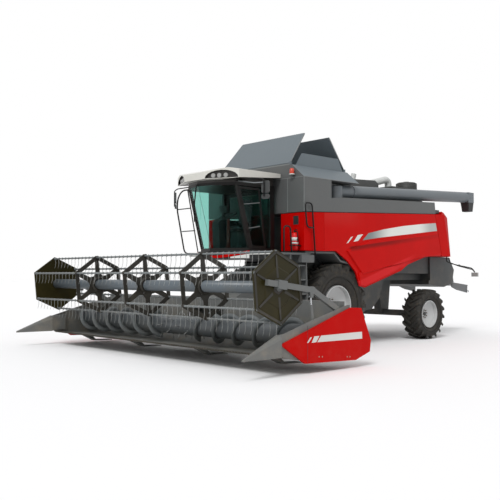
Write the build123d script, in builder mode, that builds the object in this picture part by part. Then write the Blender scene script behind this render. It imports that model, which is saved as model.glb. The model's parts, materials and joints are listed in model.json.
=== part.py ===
from build123d import *
from math import atan2, cos, degrees, hypot, pi, radians, sin
import os

# A combine harvester with its cutting header, as it parks on its four wheels.
# Millimetres. X is the machine's left, Y its rear, Z up, and the floor is Z = 0.

# Reach of the machine before and behind its front axle, which centres the model on Y
tip_ahead = 5070
tail_behind = 6480
axle_y = (tip_ahead - tail_behind) / 2

# Wheels
wheel_base = 3546
front_tyre_r = 945
front_tyre_w = 640
front_rim_r = 455
front_wheel_x = 1200
front_stub_r = 80
rear_tyre_r = 637
rear_tyre_w = 490
rear_rim_r = 345
rear_wheel_x = 1325
rear_stub_r = 45
tyre_facets = 20
tyre_lugs = 18
front_lug_h = 55
rear_lug_h = 45
front_lug_w = 64
rear_lug_w = 50
lug_sweep = 11
rim_wall = 22
disc_wall = 30
running_gap = 0.05
rest_gap = 0.3

# Front axle and the swivelling ends of the rear axle
axle_beam_x = 620
axle_beam_h = 260
drive_case_x = 850
drive_case_r = 250
kingpin_x = 950
kingpin_r = 30
kingpin_eye_r = 75
kingpin_eye_h = 160
rear_beam_h = 150
fork_ear_h = 45
tie_arm = 260
hitch_reach = 250
hitch_bore_r = 16.5

# Chassis and threshing body
body_x = 900
body_low_x = 640
body_front = -400
body_rear = 4450
body_bottom = 1500
body_top = 2960
deck_z = 3330
screen_place = (700, 3740)
screen_r = 290
screen_z = 3900
screen_top_z = 4180
radiator_x = (-250, 1000)
radiator_front = 2700
rail_x = 930

# Side panels: outer face, thickness and outline, as (behind the axle, height)
panel_x = 1570
panel_t = 40
panel_front = -1240
panel_seam = -600
panel_rear = 4050
panel_rear_lean = 300
hood_side_low = 4450
hood_side_top = 4205
panel_top_front = 2965
panel_top_rear = 3215
panel_gap = 8
strip_gap = 16
fender_z = 2155
strip_x = 1555
strip_t = 40
deck_half = strip_x - strip_t - 15
strip_front = -347
strip_rear = 3760

# Grain tank
tank_rear = 620
tank_fold_z = 3730
tank_rim_z = 4020
tank_rim_x = 1220
tank_wall = 30
recess_x = 1080
recess_z = 3360
coaming_h = 290
lid_t = 25
front_lid_len = 955
front_lid_open = 51
rear_lid_len = 845
rear_lid_open = 63
lid_half = 1150
lid_taper = 130

# Unloading auger, which swings about an upright axis
swing_x = 1300
swing_y = 100
auger_pipe_z = 3530
auger_pipe_r = 145
auger_pipe_rise = 2.8
auger_pipe_end = 5780
auger_drop = 400
pipe_lip = 8

# Cab
cab_half = 800
cab_low_front = -2100
cab_top_front = -2490
cab_rear = -1360
cab_floor_z = 2150
cab_head_z = 3570
cab_base_h = 170
pillar = 60
door_rear_low = -1600
door_rear_top = -1790
glass_t = 12
glass_fit = 0.3
window_rear = -1480
door_gap = 6
hinge_x = cab_half + 12
hinge_pin_r = 6
hinge_r = 12
hinge_spots = (2560, 3180)
hinge_half = 25
door_head_gap = 20
roof_top_z = 3970
roof_low_z = 3630
cab_bow = 400
bow_shape = ((0.55, 0.72), (0, 1), (-0.55, 0.72))
roof_nose = (325, -2960)
roof_corner = (1030, -2600)
roof_crown = [(1100, 3590), (1100, 3800), (900, 3840), (500, 3905), (250, 3945), (60, roof_top_z)]
roof_slope = [(-3100, 3733), (-2960, 3780), (-2780, 3840), (-2500, 3900), (-2100, 3955), (-1900, roof_top_z)]
roof_under = [(-3000, 3600), (-1200, 3755), (-1200, 3500), (-3000, 3500)]
roof_band_top = 3790
arch_half = 375
arch_low_z = 3642
arch_top_z = 3806
arch_depth = 60
roof_lamp_r = 46
roof_lamp_spots = (-190, -55, 90)
roof_lamp_z = 3698

# Header: cutting width, end panels, sheet and auger
header_half = 3860
end_panel_t = 60
end_sheet_t = 8
end_nose_in = 45
end_seam_y = -3645
header_half_inner = header_half - end_panel_t
end_gap = 15
cutter_y = -4119
cutter_z = 314
back_sheet_y = -2660
back_sheet_z = 1170
header_auger_y = -3280
header_auger_z = 600
header_flight_r = 300
header_tube_r = 190
flight_pitch = 560
flight_t = 6
flight_facets = 16
feed_half = 640
finger_r = 8
guard_len = 120
guard_step = 76.2
guard_w = 26

# Feeder house and its lift
feeder_half = 690
feeder_pivot_y = -700
feeder_pivot_z = 1650
feeder_drum_r = 270
feeder_mouth_low = 300
feeder_mouth_high = 1080
mouth_half = 600
mouth_depth = 250
lift_x = 560
lift_base = (-400, 600)
lift_eye = (-1950, 450)
lift_barrel_r = 60
lift_rod_r = 35
lift_barrel_len = 1100

# Reel, its arms and the rams that lift it
reel_y = -4152
reel_z = 1432
reel_bar_r = 585
reel_turn = -5.7
reel_tube_r = 105
reel_bars = 6
tine_len = 225
tine_step = 150
tine_w = 12
reel_bar_w = 40
star_t = 16
star_spoke = 55
star_rim = 60
arm_w = 70
arm_out = header_half_inner - end_gap
arm_in = arm_out - arm_w
reel_side_gap = 25
reel_shield_x = arm_in - reel_side_gap
star_x = (-reel_shield_x * 0.49, 0, reel_shield_x * 0.49)
arm_h = 95
arm_pivot_y = -2600
arm_pivot_z = 950
arm_pin_r = 25
arm_knee = (-3420, 1385)
arm_tip = (-4480, 1520)
reel_stub_r = 30
reel_ram_base = (-3390, 770)
reel_ram_eye = (-3450, 1280)
reel_ram_r = 24
reel_ram_rod_r = 12
reel_ram_barrel_len = 370


def aft(distance):
    """The Y of a place that lies this far behind the front axle."""
    return axle_y + distance


def shifted(outline):
    """An outline given behind the axle, in the model's own Y."""
    return [(aft(y), z) for y, z in outline]


def prism(outline, x_from, x_to, mode=Mode.ADD, taper=0):
    """A side outline of (behind the axle, height), extruded across the machine."""
    with BuildSketch(Plane.YZ.offset(x_from)) as face:
        with BuildLine():
            Polyline(*shifted(outline), close=True)
        make_face()
    extrude(face.sketch, amount=x_to - x_from, mode=mode, taper=taper)


def plan(outline, z_from, z_to, mode=Mode.ADD):
    """A plan outline of (x, behind the axle), extruded upwards."""
    with BuildSketch(Plane.XY.offset(z_from)) as face:
        with BuildLine():
            Polyline(*[(x, aft(y)) for x, y in outline], close=True)
        make_face()
    extrude(face.sketch, amount=z_to - z_from, mode=mode)


def block(x, y, z, mode=Mode.ADD):
    """A box between two values on each axis, with y behind the axle."""
    with Locations((sum(x) / 2, aft(sum(y) / 2), sum(z) / 2)):
        Box(abs(x[1] - x[0]), abs(y[1] - y[0]), abs(z[1] - z[0]), mode=mode)


def rod(start, end, radius, mode=Mode.ADD):
    """A round bar from one (x, behind the axle, height) to another."""
    tail = Vector(start[0], aft(start[1]), start[2])
    tip = Vector(end[0], aft(end[1]), end[2])
    with BuildSketch(Plane(origin=tail, z_dir=tip - tail)) as ring:
        Circle(radius)
    extrude(ring.sketch, amount=(tip - tail).length, mode=mode)


def cross_rod(x_from, x_to, place, radius, mode=Mode.ADD):
    """A round bar across the machine, at (behind the axle, height)."""
    rod((x_from, *place), (x_to, *place), radius, mode)


def rail(points, bend, radius):
    """A bent tube through (x, behind the axle, height) points."""
    with BuildLine() as route:
        FilletPolyline(*[(x, aft(y), z) for x, y, z in points], radius=bend)
    with BuildSketch(Plane(origin=route.line @ 0, z_dir=route.line % 0)) as ring:
        Circle(radius)
    sweep(ring.sketch, path=route.line)


def beam_outline(start, end, height):
    """The four corners of a straight bar between two side places."""
    run = hypot(end[0] - start[0], end[1] - start[1])
    dy = -(end[1] - start[1]) / run * height / 2
    dz = (end[0] - start[0]) / run * height / 2
    return [(start[0] + dy, start[1] + dz), (end[0] + dy, end[1] + dz),
            (end[0] - dy, end[1] - dz), (start[0] - dy, start[1] - dz)]


def between(start, end, share):
    """The side place at this share of the way from start to end."""
    return (start[0] + (end[0] - start[0]) * share, start[1] + (end[1] - start[1]) * share)


def turned(profile, x_centre, place):
    """A ring about a crosswise axle, from (across, radius) points about its centre."""
    axle = Plane(origin=(x_centre, aft(place[0]), place[1]), x_dir=(1, 0, 0), z_dir=(0, -1, 0))
    with BuildSketch(axle) as half:
        with BuildLine():
            Polyline(*profile, close=True)
        make_face()
    revolve(half.sketch, axis=Axis(axle.origin, (1, 0, 0)))


def skin(rings, closed=False, flat=False):
    """A solid skinned over rings of points, each joined to the next by flat faces."""
    count = len(rings[0])
    faces = []
    after = rings[1:] + rings[:1] if closed else rings[1:]
    for near, far in zip(rings, after):
        for k in range(count):
            corner_a, corner_b = near[k], near[(k + 1) % count]
            corner_c, corner_d = far[(k + 1) % count], far[k]
            if flat:
                faces.append(Face(Wire.make_polygon([corner_a, corner_b, corner_c, corner_d])))
            else:
                faces.append(Face(Wire.make_polygon([corner_a, corner_b, corner_c])))
                faces.append(Face(Wire.make_polygon([corner_a, corner_c, corner_d])))
    if not closed:
        faces += [Face(Wire.make_polygon(rings[0])), Face(Wire.make_polygon(rings[-1]))]
    return Solid(Shell(faces))


def around(x, radius, turn):
    """A point at this radius about a crosswise axle through the origin."""
    return Vector(x, -radius * sin(turn), radius * cos(turn))


def keep(piece, name):
    """Label a finished piece and write it."""
    piece.part.label = name
    export_step(piece.part, f"parts/{name}.step")


os.makedirs("parts", exist_ok=True)
front_axle_place = (0, front_tyre_r)
rear_axle_place = (wheel_base, rear_tyre_r)
sides = (("left", 1), ("right", -1))


# Tyres and wheels
def lugged_tyre(radius, width, rim_r, lug_h, lug_w):
    """A tyre about the origin, with bars that slant out from its middle to both shoulders."""
    half = width / 2
    carcass = radius - lug_h
    wall = carcass - rim_r
    bead = (rim_r + rest_gap) / cos(pi / tyre_facets)
    profile = [(-half * 0.80, bead), (half * 0.80, bead), (half * 0.98, rim_r + wall * 0.5),
               (half * 0.86, carcass),
               (-half * 0.86, carcass), (-half * 0.98, rim_r + wall * 0.5)]
    rings = [[around(x, r, 2 * pi * k / tyre_facets) for x, r in profile] for k in range(tyre_facets)]
    lugs = []
    for side in (1, -1):
        for k in range(tyre_lugs):
            start = (k + (0.5 if side > 0 else 0)) * 2 * pi / tyre_lugs
            ends = []
            for across, drop, turn in ((0, 0, start), (half, lug_h * 0.15, start + radians(lug_sweep))):
                spread = lug_w / radius / 2
                ends.append([around(side * across, carcass - lug_h * 0.45, turn - spread),
                             around(side * across, radius - drop, turn - spread),
                             around(side * across, radius - drop, turn + spread),
                             around(side * across, carcass - lug_h * 0.45, turn + spread)])
            lugs.append(skin(ends))
    return skin(rings, closed=True, flat=True).fuse(*lugs)


def wheel_profile(side, width, rim_r, hub_r, bore_r, dish):
    """Section of a dished steel wheel, from its hub's bore out to its rim."""
    half = width / 2 * 0.80
    inner_r = rim_r - rim_wall
    face = dish * side
    back = face - disc_wall * side
    return [(face, bore_r), (face, hub_r), (half * side * 0.55, inner_r), (half * side, inner_r),
            (half * side, rim_r), (-half * side, rim_r), (-half * side, inner_r),
            (half * side * 0.55 - disc_wall * side, inner_r), (back, hub_r), (back, bore_r)]


# axle, place, across, tyre radius, tyre width, rim radius, lug height and width, hub and stub radius, dish
wheel_table = (
    ("front", front_axle_place, front_wheel_x, front_tyre_r, front_tyre_w, front_rim_r, front_lug_h,
     front_lug_w,
     190, front_stub_r, 20),
    ("rear", rear_axle_place, rear_wheel_x, rear_tyre_r, rear_tyre_w, rear_rim_r, rear_lug_h, rear_lug_w,
     120, rear_stub_r, 30),
)
for end, place, across, tyre_r, tyre_w, rim_r, lug_h, lug_w, hub_r, stub_r, dish in wheel_table:
    shape = lugged_tyre(tyre_r, tyre_w, rim_r, lug_h, lug_w)
    for side_name, side in sides:
        with BuildPart() as tyre:
            with Locations((side * across, aft(place[0]), place[1])):
                add(shape)
        keep(tyre, f"{end}_tyre_{side_name}")
        with BuildPart() as wheel:
            turned(wheel_profile(side, tyre_w, rim_r, hub_r, stub_r + running_gap, dish), side * across,
                   place)
        keep(wheel, f"{end}_wheel_{side_name}")


# Front axle: beam, final drives, stubs for the wheels and the brackets of the lift rams
with BuildPart() as front_axle:
    block((-axle_beam_x, axle_beam_x), (-axle_beam_h / 2, axle_beam_h / 2),
          (front_tyre_r - axle_beam_h / 2, front_tyre_r + axle_beam_h / 2))
    for side in (1, -1):
        cross_rod(side * axle_beam_x, side * drive_case_x, front_axle_place, drive_case_r)
        cross_rod(side * drive_case_x, side * (front_wheel_x + 60), front_axle_place, front_stub_r)
        for ear in (-1, 1):
            x_mid = side * lift_x + ear * (lift_barrel_r + 15)
            prism([(-axle_beam_h / 2 + 1, front_tyre_r + 100), (-axle_beam_h / 2 + 1, front_tyre_r - 120),
                   (lift_base[0] + 20, lift_base[1] - 80), (lift_base[0] - 80, lift_base[1] - 60),
                   (lift_base[0] - 80, lift_base[1] + 60)], x_mid - 12, x_mid + 12)
        cross_rod(side * lift_x - lift_barrel_r - 27, side * lift_x + lift_barrel_r + 27, lift_base, 25)
keep(front_axle, "front_axle")

# Rear axle beam with an upright eye at each end and a towing clevis
with BuildPart() as rear_axle:
    block((-kingpin_x, kingpin_x), (wheel_base - 70, wheel_base + 70),
          (rear_tyre_r - rear_beam_h / 2, rear_tyre_r + rear_beam_h / 2))
    prism([(wheel_base - 160, rear_tyre_r), (wheel_base + 160, rear_tyre_r),
           (wheel_base + 260, body_bottom - rest_gap),
           (wheel_base - 260, body_bottom - rest_gap)], -110, 110)
    block((-60, 60), (wheel_base + 69, wheel_base + hitch_reach), (rear_tyre_r - 60, rear_tyre_r + 60))
    block((-61, 61), (wheel_base + 110, wheel_base + hitch_reach + 1), (rear_tyre_r - 40, rear_tyre_r + 40),
          Mode.SUBTRACT)
    rod((0, wheel_base + hitch_reach - 60, rear_tyre_r - 61),
        (0, wheel_base + hitch_reach - 60, rear_tyre_r + 61),
        hitch_bore_r, Mode.SUBTRACT)
    for side in (1, -1):
        rod((side * kingpin_x, wheel_base, rear_tyre_r - kingpin_eye_h / 2),
            (side * kingpin_x, wheel_base, rear_tyre_r + kingpin_eye_h / 2), kingpin_eye_r)
        rod((side * kingpin_x, wheel_base, rear_tyre_r - kingpin_eye_h),
            (side * kingpin_x, wheel_base, rear_tyre_r + kingpin_eye_h), kingpin_r + running_gap,
            Mode.SUBTRACT)
keep(rear_axle, "rear_axle")

# Steering knuckles: a fork on its kingpin, the wheel's stub and an arm for the tie rod
for side_name, side in sides:
    with BuildPart() as knuckle:
        rod((side * kingpin_x, wheel_base, rear_tyre_r - kingpin_eye_h / 2 - fork_ear_h),
            (side * kingpin_x, wheel_base, rear_tyre_r + kingpin_eye_h / 2 + fork_ear_h), kingpin_r)
        for up in (1, -1):
            ear_z = rear_tyre_r + up * (kingpin_eye_h / 2 + rest_gap)
            rod((side * kingpin_x, wheel_base, ear_z),
                (side * kingpin_x, wheel_base, ear_z + up * fork_ear_h),
                kingpin_eye_r)
            block((side * kingpin_x, side * (kingpin_x + 130)), (wheel_base - 50, wheel_base + 50),
                  (ear_z, ear_z + up * fork_ear_h))
        block((side * (kingpin_x + 90), side * (kingpin_x + 130)), (wheel_base - 50, wheel_base + 50),
              (rear_tyre_r - kingpin_eye_h / 2 - fork_ear_h, rear_tyre_r + kingpin_eye_h / 2 + fork_ear_h))
        cross_rod(side * (kingpin_x + 130), side * (rear_wheel_x + 60), rear_axle_place, rear_stub_r)
        arm_z = rear_tyre_r - kingpin_eye_h / 2 - fork_ear_h / 2
        block((side * (kingpin_x - 20), side * (kingpin_x + 20)), (wheel_base, wheel_base - tie_arm),
              (arm_z - 15, arm_z + 15))
    keep(knuckle, f"knuckle_{side_name}")


# Chassis rails and cross members, with the belly boxes behind the front wheels
with BuildPart() as chassis:
    block((-body_low_x, body_low_x), (body_front, body_rear), (body_bottom, body_bottom + 160))
    prism([(-160, front_tyre_r + axle_beam_h / 2 + rest_gap),
           (200, front_tyre_r + axle_beam_h / 2 + rest_gap), (330, body_bottom + 20),
           (-330, body_bottom + 20)], -axle_beam_x + 60, axle_beam_x - 60)
    prism([(960, 690), (1420, 640), (wheel_base - 1831, 797), (wheel_base - 1502, 1068),
           (wheel_base - 1292, body_bottom + 10), (960, body_bottom + 10)],
          -rail_x, rail_x)
keep(chassis, "chassis")

# Threshing body between the side panels, with the rotor bay low at the rear
with BuildPart() as threshing_body:
    prism([(body_front, 1760), (-330, 1680), (960, 1680), (3000, body_bottom + 170),
           (body_rear, body_bottom + 170),
           (body_rear, body_top), (body_front, body_top)], -body_x, body_x)
    for side in (1, -1):
        block((side * 850, side * (body_x + 1)), (body_front - 1, 1000), (1600, 1910), Mode.SUBTRACT)
        prism([(feeder_pivot_y - 110, 1640), (feeder_pivot_y + 110, 1640), (body_front + 1, 1760),
               (body_front + 1, 1960), (feeder_pivot_y - 110, 1960)],
              side * (feeder_half + 20), side * (feeder_half + 60))
        cross_rod(side * (feeder_half + 10), side * (feeder_half + 70), (feeder_pivot_y, feeder_pivot_z),
                  60 + running_gap, Mode.SUBTRACT)
    block((-panel_x + panel_t + rest_gap, panel_x - panel_t - rest_gap), (panel_seam - 60, panel_seam - 20),
          (fender_z + 5, body_top - 10))
    block((-body_x, body_x), (panel_seam - 21, body_front + 1), (fender_z + 5, body_top - 10))
keep(threshing_body, "threshing_body")

# Engine, one plain mass behind the grain tank
with BuildPart() as engine_block:
    block((-450, 450), (1000, 1900), (body_top + rest_gap, 3700))
keep(engine_block, "engine_block")

# Upper deck, engine hood and the box that carries the dust screen
with BuildPart() as upper_deck:
    block((-deck_half, deck_half), (tank_rear + 10, panel_rear), (body_top + 290, deck_z))
    for side in (1, -1):
        block((side * 820, side * body_x), (tank_rear + 10, panel_rear), (body_top, body_top + 290))
    block((-460, 460), (980, 1920), (body_top + 280, deck_z + 10), Mode.SUBTRACT)
    block(radiator_x, (radiator_front, screen_place[1] + screen_r + 10), (deck_z, screen_z))
keep(upper_deck, "upper_deck")


# Red side panels: the big rear one is a lid hinged at its top, the front one returns to the cab
panel_rise = (panel_top_rear - panel_top_front) / (panel_rear - panel_front)


def panel_top(y):
    """Height of the red panels' top line at this distance behind the axle."""
    return panel_top_front + (y - panel_front) * panel_rise


hinge_front = panel_seam + panel_gap
hinge_rear = panel_rear - panel_gap
door_outline = [(hinge_front, fender_z), (-200, fender_z + 10), (180, 1960), (490, 1700), (635, 1384),
                (819, 1347), (1970, 1666), (2234, 1740), (2530, 1893), (3230, 2077), (3640, 2122),
                (hinge_rear, 2150), (hinge_rear - panel_rear_lean, panel_top(hinge_rear - panel_rear_lean)),
                (hinge_front, panel_top(hinge_front))]
relief_outline = [(140, 2180), (941, 2420), (hinge_rear - 260, 2725), (hinge_rear - 60, 2130), (3230, 2095),
                  (2257, 1927), (700, 1648)]
lip_outline = [(560, 1690), (2257, 1900), (1960, 1690), (819, 1375), (650, 1400)]
relief_t = 35
for side_name, side in sides:
    with BuildPart() as panel:
        prism(door_outline, side * (panel_x - panel_t), side * panel_x)
        prism(relief_outline, side * panel_x, side * (panel_x + relief_t), taper=25)
        prism(lip_outline, side * panel_x, side * (panel_x + relief_t * 0.6), taper=25)
    keep(panel, f"side_panel_{side_name}")

front_outline = [(panel_front, fender_z), (panel_seam, fender_z), (panel_seam, panel_top(panel_seam)),
                 (panel_front, panel_top_front)]
with BuildPart() as front_panels:
    for side in (1, -1):
        prism(front_outline, side * (panel_x - panel_t), side * panel_x)
        block((side * (cab_half + 90), side * panel_x), (panel_front, panel_front + panel_t),
              (fender_z, panel_top_front))
keep(front_panels, "front_panels")

strip_outline = [(strip_front, panel_top(strip_front) + strip_gap),
                 (strip_rear + 40, panel_top(strip_rear) + strip_gap), (strip_rear, 3510), (0, 3367),
                 (strip_front, 3330)]
with BuildPart() as upper_panels:
    for side in (1, -1):
        prism(strip_outline, side * (strip_x - strip_t), side * strip_x)
        block((side * (deck_half + rest_gap), side * (strip_x - strip_t + 1)), (tank_rear + 10, strip_rear),
              (deck_z - 60, deck_z))
        for y in (200, 1700, 3200):
            block((side * (strip_x - strip_t), side * (panel_x - panel_t - rest_gap)), (y - 40, y + 40),
                  (panel_top(y) - 60, panel_top(y) + 60))
keep(upper_panels, "upper_panels")

# Rear hood over the straw outlet
with BuildPart() as rear_hood:
    plan([(panel_x, panel_rear + panel_gap), (1400, 4750), (950, 5350), (-950, 5350), (-1400, 4750),
          (-panel_x, panel_rear + panel_gap)], 2130, 3290)
    prism([(3900, 3300), (5600, 3300), (5600, 2950), (5350, 3020), (4300, panel_top_rear + 60)], -1700, 1700,
          Mode.SUBTRACT)
    block((-body_x, body_x), (panel_rear, body_rear + rest_gap), (2000, body_top + 10), Mode.SUBTRACT)
    for side in (1, -1):
        top_z = panel_top(hinge_rear)
        prism([(panel_rear + panel_gap, 2150), (panel_rear + panel_gap - panel_rear_lean, top_z - 10),
               (panel_rear + panel_gap + 1, top_z)], side * (panel_x - panel_t), side * panel_x)
        prism([(panel_rear + panel_gap, 2130), (hood_side_low, 2130), (hood_side_top, top_z),
               (panel_rear + panel_gap, top_z)], side * 1400, side * panel_x)
    chamfer(rear_hood.edges().filter_by(GeomType.LINE).group_by(Axis.Y)[-1].sort_by(Axis.Z)[-1], 60)
keep(rear_hood, "rear_hood")

# Straw chopper and its spreading board
board_pivot = (5585, 1420)
board_end = (tail_behind - 1.5, 1330)
board_pin_r = 22
with BuildPart() as straw_chopper:
    prism([(body_rear + rest_gap, 2120), (5410, 2120), (5660, 1774), (5550, 1400), (5140, 1301),
           (body_rear - 60, 1380), (body_rear - 60, 1490), (body_rear + rest_gap, 1490)], -950, 950)
    for side in (1, -1):
        prism([(5500, 1389), (5600, 1600), (5640, 1430), (5600, 1375), (5545, 1375)], side * 932, side * 948)
        cross_rod(side * 925, side * 955, board_pivot, board_pin_r + running_gap, Mode.SUBTRACT)
keep(straw_chopper, "straw_chopper")
with BuildPart() as spreader_board:
    prism(beam_outline(board_pivot, board_end, 30), -900, 900)
    for side in (1, -1):
        prism([(5600, 1405), (6460, 1318), (6450, 1120), (5900, 1210), (5640, 1290)], side * 870, side * 900)
    cross_rod(-948, 948, board_pivot, board_pin_r)
keep(spreader_board, "spreader_board")

# Grain tank: an open hopper with a sloping rim, side coamings, the lids' hinge blocks and the auger's foot
front_lid_hinge = (panel_front + 25, tank_rim_z + 45)
rear_lid_hinge = (tank_rear - 25, tank_rim_z + 45)
lid_pin_r = 20
with BuildPart() as grain_tank:
    prism([(panel_front, panel_top_front + strip_gap), (strip_front, panel_top(strip_front) + strip_gap),
           (strip_front, tank_fold_z), (panel_front, tank_fold_z)], -panel_x, panel_x)
    block((-recess_x, recess_x), (strip_front, tank_rear), (body_top + rest_gap, tank_fold_z))
    block((-panel_x, -recess_x), (strip_front, tank_rear), (recess_z + 50, tank_fold_z))
    with BuildSketch(Plane.XZ.offset(-aft(panel_front))) as band:
        with BuildLine():
            Polyline((-panel_x, tank_fold_z), (panel_x, tank_fold_z), (tank_rim_x, tank_rim_z),
                     (-tank_rim_x, tank_rim_z), close=True)
        make_face()
    extrude(band.sketch, amount=-(tank_rear - panel_front))
    inner_front = panel_front + tank_wall
    inner_rear = tank_rear - tank_wall
    block((-tank_rim_x + tank_wall * 3, tank_rim_x - tank_wall * 3), (inner_front, inner_rear),
          (tank_fold_z - 10, tank_rim_z + 10), Mode.SUBTRACT)
    hopper = recess_x - tank_wall
    block((-hopper, hopper), (inner_front, inner_rear), (3450, tank_fold_z), Mode.SUBTRACT)
    with BuildSketch(Plane.XY.offset(3450)) as mouth:
        with Locations((0, aft((inner_front + inner_rear) / 2))):
            Rectangle(2 * hopper, inner_rear - inner_front)
    with BuildSketch(Plane.XY.offset(panel_top_front + 60)) as sump:
        with Locations((0, aft((inner_front + inner_rear) / 2))):
            Rectangle(700, (inner_rear - inner_front) * 0.6)
    loft([mouth.sketch, sump.sketch], mode=Mode.SUBTRACT)
    for side in (1, -1):
        prism([(inner_front + 130, tank_rim_z - 1), (inner_rear - 90, tank_rim_z - 1),
               (inner_rear - 250, tank_rim_z + coaming_h), (inner_front + 330, tank_rim_z + coaming_h)],
              side * (lid_half + 15), side * (lid_half + 35))
        for hinge in (front_lid_hinge, rear_lid_hinge):
            block((side * (lid_half + 1), side * (lid_half + 16)), (hinge[0] - 30, hinge[0] + 30),
                  (tank_rim_z - 1, hinge[1] + 30))
            cross_rod(side * lid_half, side * (lid_half + 16), hinge, lid_pin_r + running_gap, Mode.SUBTRACT)
    rod((swing_x, swing_y, panel_top_front), (swing_x, swing_y, recess_z - 10), 165)
    block((recess_x - 40, swing_x), (swing_y - 120, swing_y + 120), (panel_top_front, recess_z - 20))
keep(grain_tank, "grain_tank")

# Tank lids, hinged at the front and the rear edge of the rim and half open
lid_table = (("front_lid", front_lid_hinge, front_lid_len, front_lid_open, 1),
             ("rear_lid", rear_lid_hinge, rear_lid_len, rear_lid_open, -1))
for name, hinge, length, opened, way in lid_table:
    run = (cos(radians(opened)) * way, sin(radians(opened)))
    plane = Plane(origin=(0, aft(hinge[0]), hinge[1]), x_dir=(1, 0, 0), z_dir=(0, -run[1], run[0]))
    with BuildPart() as lid:
        with BuildSketch(plane) as sheet:
            with BuildLine():
                reach = length if plane.y_dir.Y * way > 0 else -length
                Polyline((-lid_half, 0), (lid_half, 0), (lid_half - lid_taper, reach),
                         (-lid_half + lid_taper, reach), close=True)
            make_face()
        extrude(sheet.sketch, amount=lid_t / 2, both=True)
        cross_rod(-lid_half - 14, lid_half + 14, hinge, lid_pin_r)
    keep(lid, name)

# Unloading auger: swinging pipe with its elbow, and the end spout
pipe_turn = radians(auger_pipe_rise)
pipe_end_z = auger_pipe_z + (auger_pipe_end - swing_y) * sin(pipe_turn)
with BuildPart() as auger_pipe:
    rod((swing_x, swing_y, recess_z - 10 + rest_gap),
        (swing_x, swing_y, auger_pipe_z + auger_pipe_r * 0.75), 160)
    rod((swing_x, swing_y, auger_pipe_z), (swing_x, auger_pipe_end, pipe_end_z), auger_pipe_r)
    rod((swing_x, 620, auger_pipe_z + 25), (swing_x, 660, auger_pipe_z + 27), auger_pipe_r + 12)
    block((swing_x - 130, swing_x + 130), (auger_pipe_end - 120, auger_pipe_end + 160),
          (pipe_end_z - auger_pipe_r - pipe_lip, pipe_end_z + 130))
keep(auger_pipe, "unloading_auger")
with BuildPart() as auger_spout:
    with BuildSketch(Plane.XY.offset(pipe_end_z - auger_pipe_r - pipe_lip)) as top:
        with Locations((swing_x, aft(auger_pipe_end + 20))):
            Rectangle(250, 270)
    with BuildSketch(Plane.XY.offset(pipe_end_z - auger_drop)) as low:
        with Locations((swing_x, aft(auger_pipe_end + 30))):
            Rectangle(210, 200)
    loft([top.sketch, low.sketch])
keep(auger_spout, "auger_spout")

# Engine hood, dust screen on the radiator box, and the exhaust
with BuildPart() as engine_hood:
    prism([(tank_rear + 20, deck_z), (2250, deck_z), (2250, 3920), (2110, 4000), (tank_rear + 20, 3930)],
          -900, 900)
    rail([(500, 1900, 3860), (500, 3200, 4170), (500, 3200, screen_z + rest_gap)], 120, 90)
    block((-460, 460), (970, 1930), (deck_z - 10, 3720), Mode.SUBTRACT)
keep(engine_hood, "engine_hood")
with BuildPart() as dust_screen:
    rod((*screen_place, screen_z), (*screen_place, screen_top_z), screen_r)
    chamfer(dust_screen.edges().group_by(Axis.Z)[-1], 60)
keep(dust_screen, "dust_screen")
with BuildPart() as exhaust:
    rail([(-250, 2250 + rest_gap, 3700), (-250, 2500, 3700), (-250, 2700, 4330)], 150, 70)
keep(exhaust, "exhaust")


# Cab: base, frame of pillars, roof, windows and the door on the left
def lean(z):
    """Distance behind the axle of the cab's front at this height."""
    share = (z - cab_floor_z) / (cab_head_z - cab_floor_z)
    return cab_low_front + (cab_top_front - cab_low_front) * share


def bowed(corner_x, corner_y):
    """The outline of the cab's bowed front from its left corner to its right one."""
    middle = [(corner_x * x, corner_y - cab_bow * y) for x, y in bow_shape]
    return [(corner_x, corner_y), *middle, (-corner_x, corner_y)]


base_half = cab_half + 60
with BuildPart() as cab_base:
    plan([(base_half, cab_rear), *bowed(base_half, cab_low_front - 50), (-base_half, cab_rear)],
         cab_floor_z - cab_base_h, cab_floor_z)
    block((-600, 600), (cab_rear, body_front), (cab_floor_z - cab_base_h + 30, cab_floor_z - 40))
keep(cab_base, "cab_base")
def hinge_point(z):
    """The place of the door's slanted hinge line at this height."""
    return (hinge_x, lean(z) + pillar + door_gap / 2, z)


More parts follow.
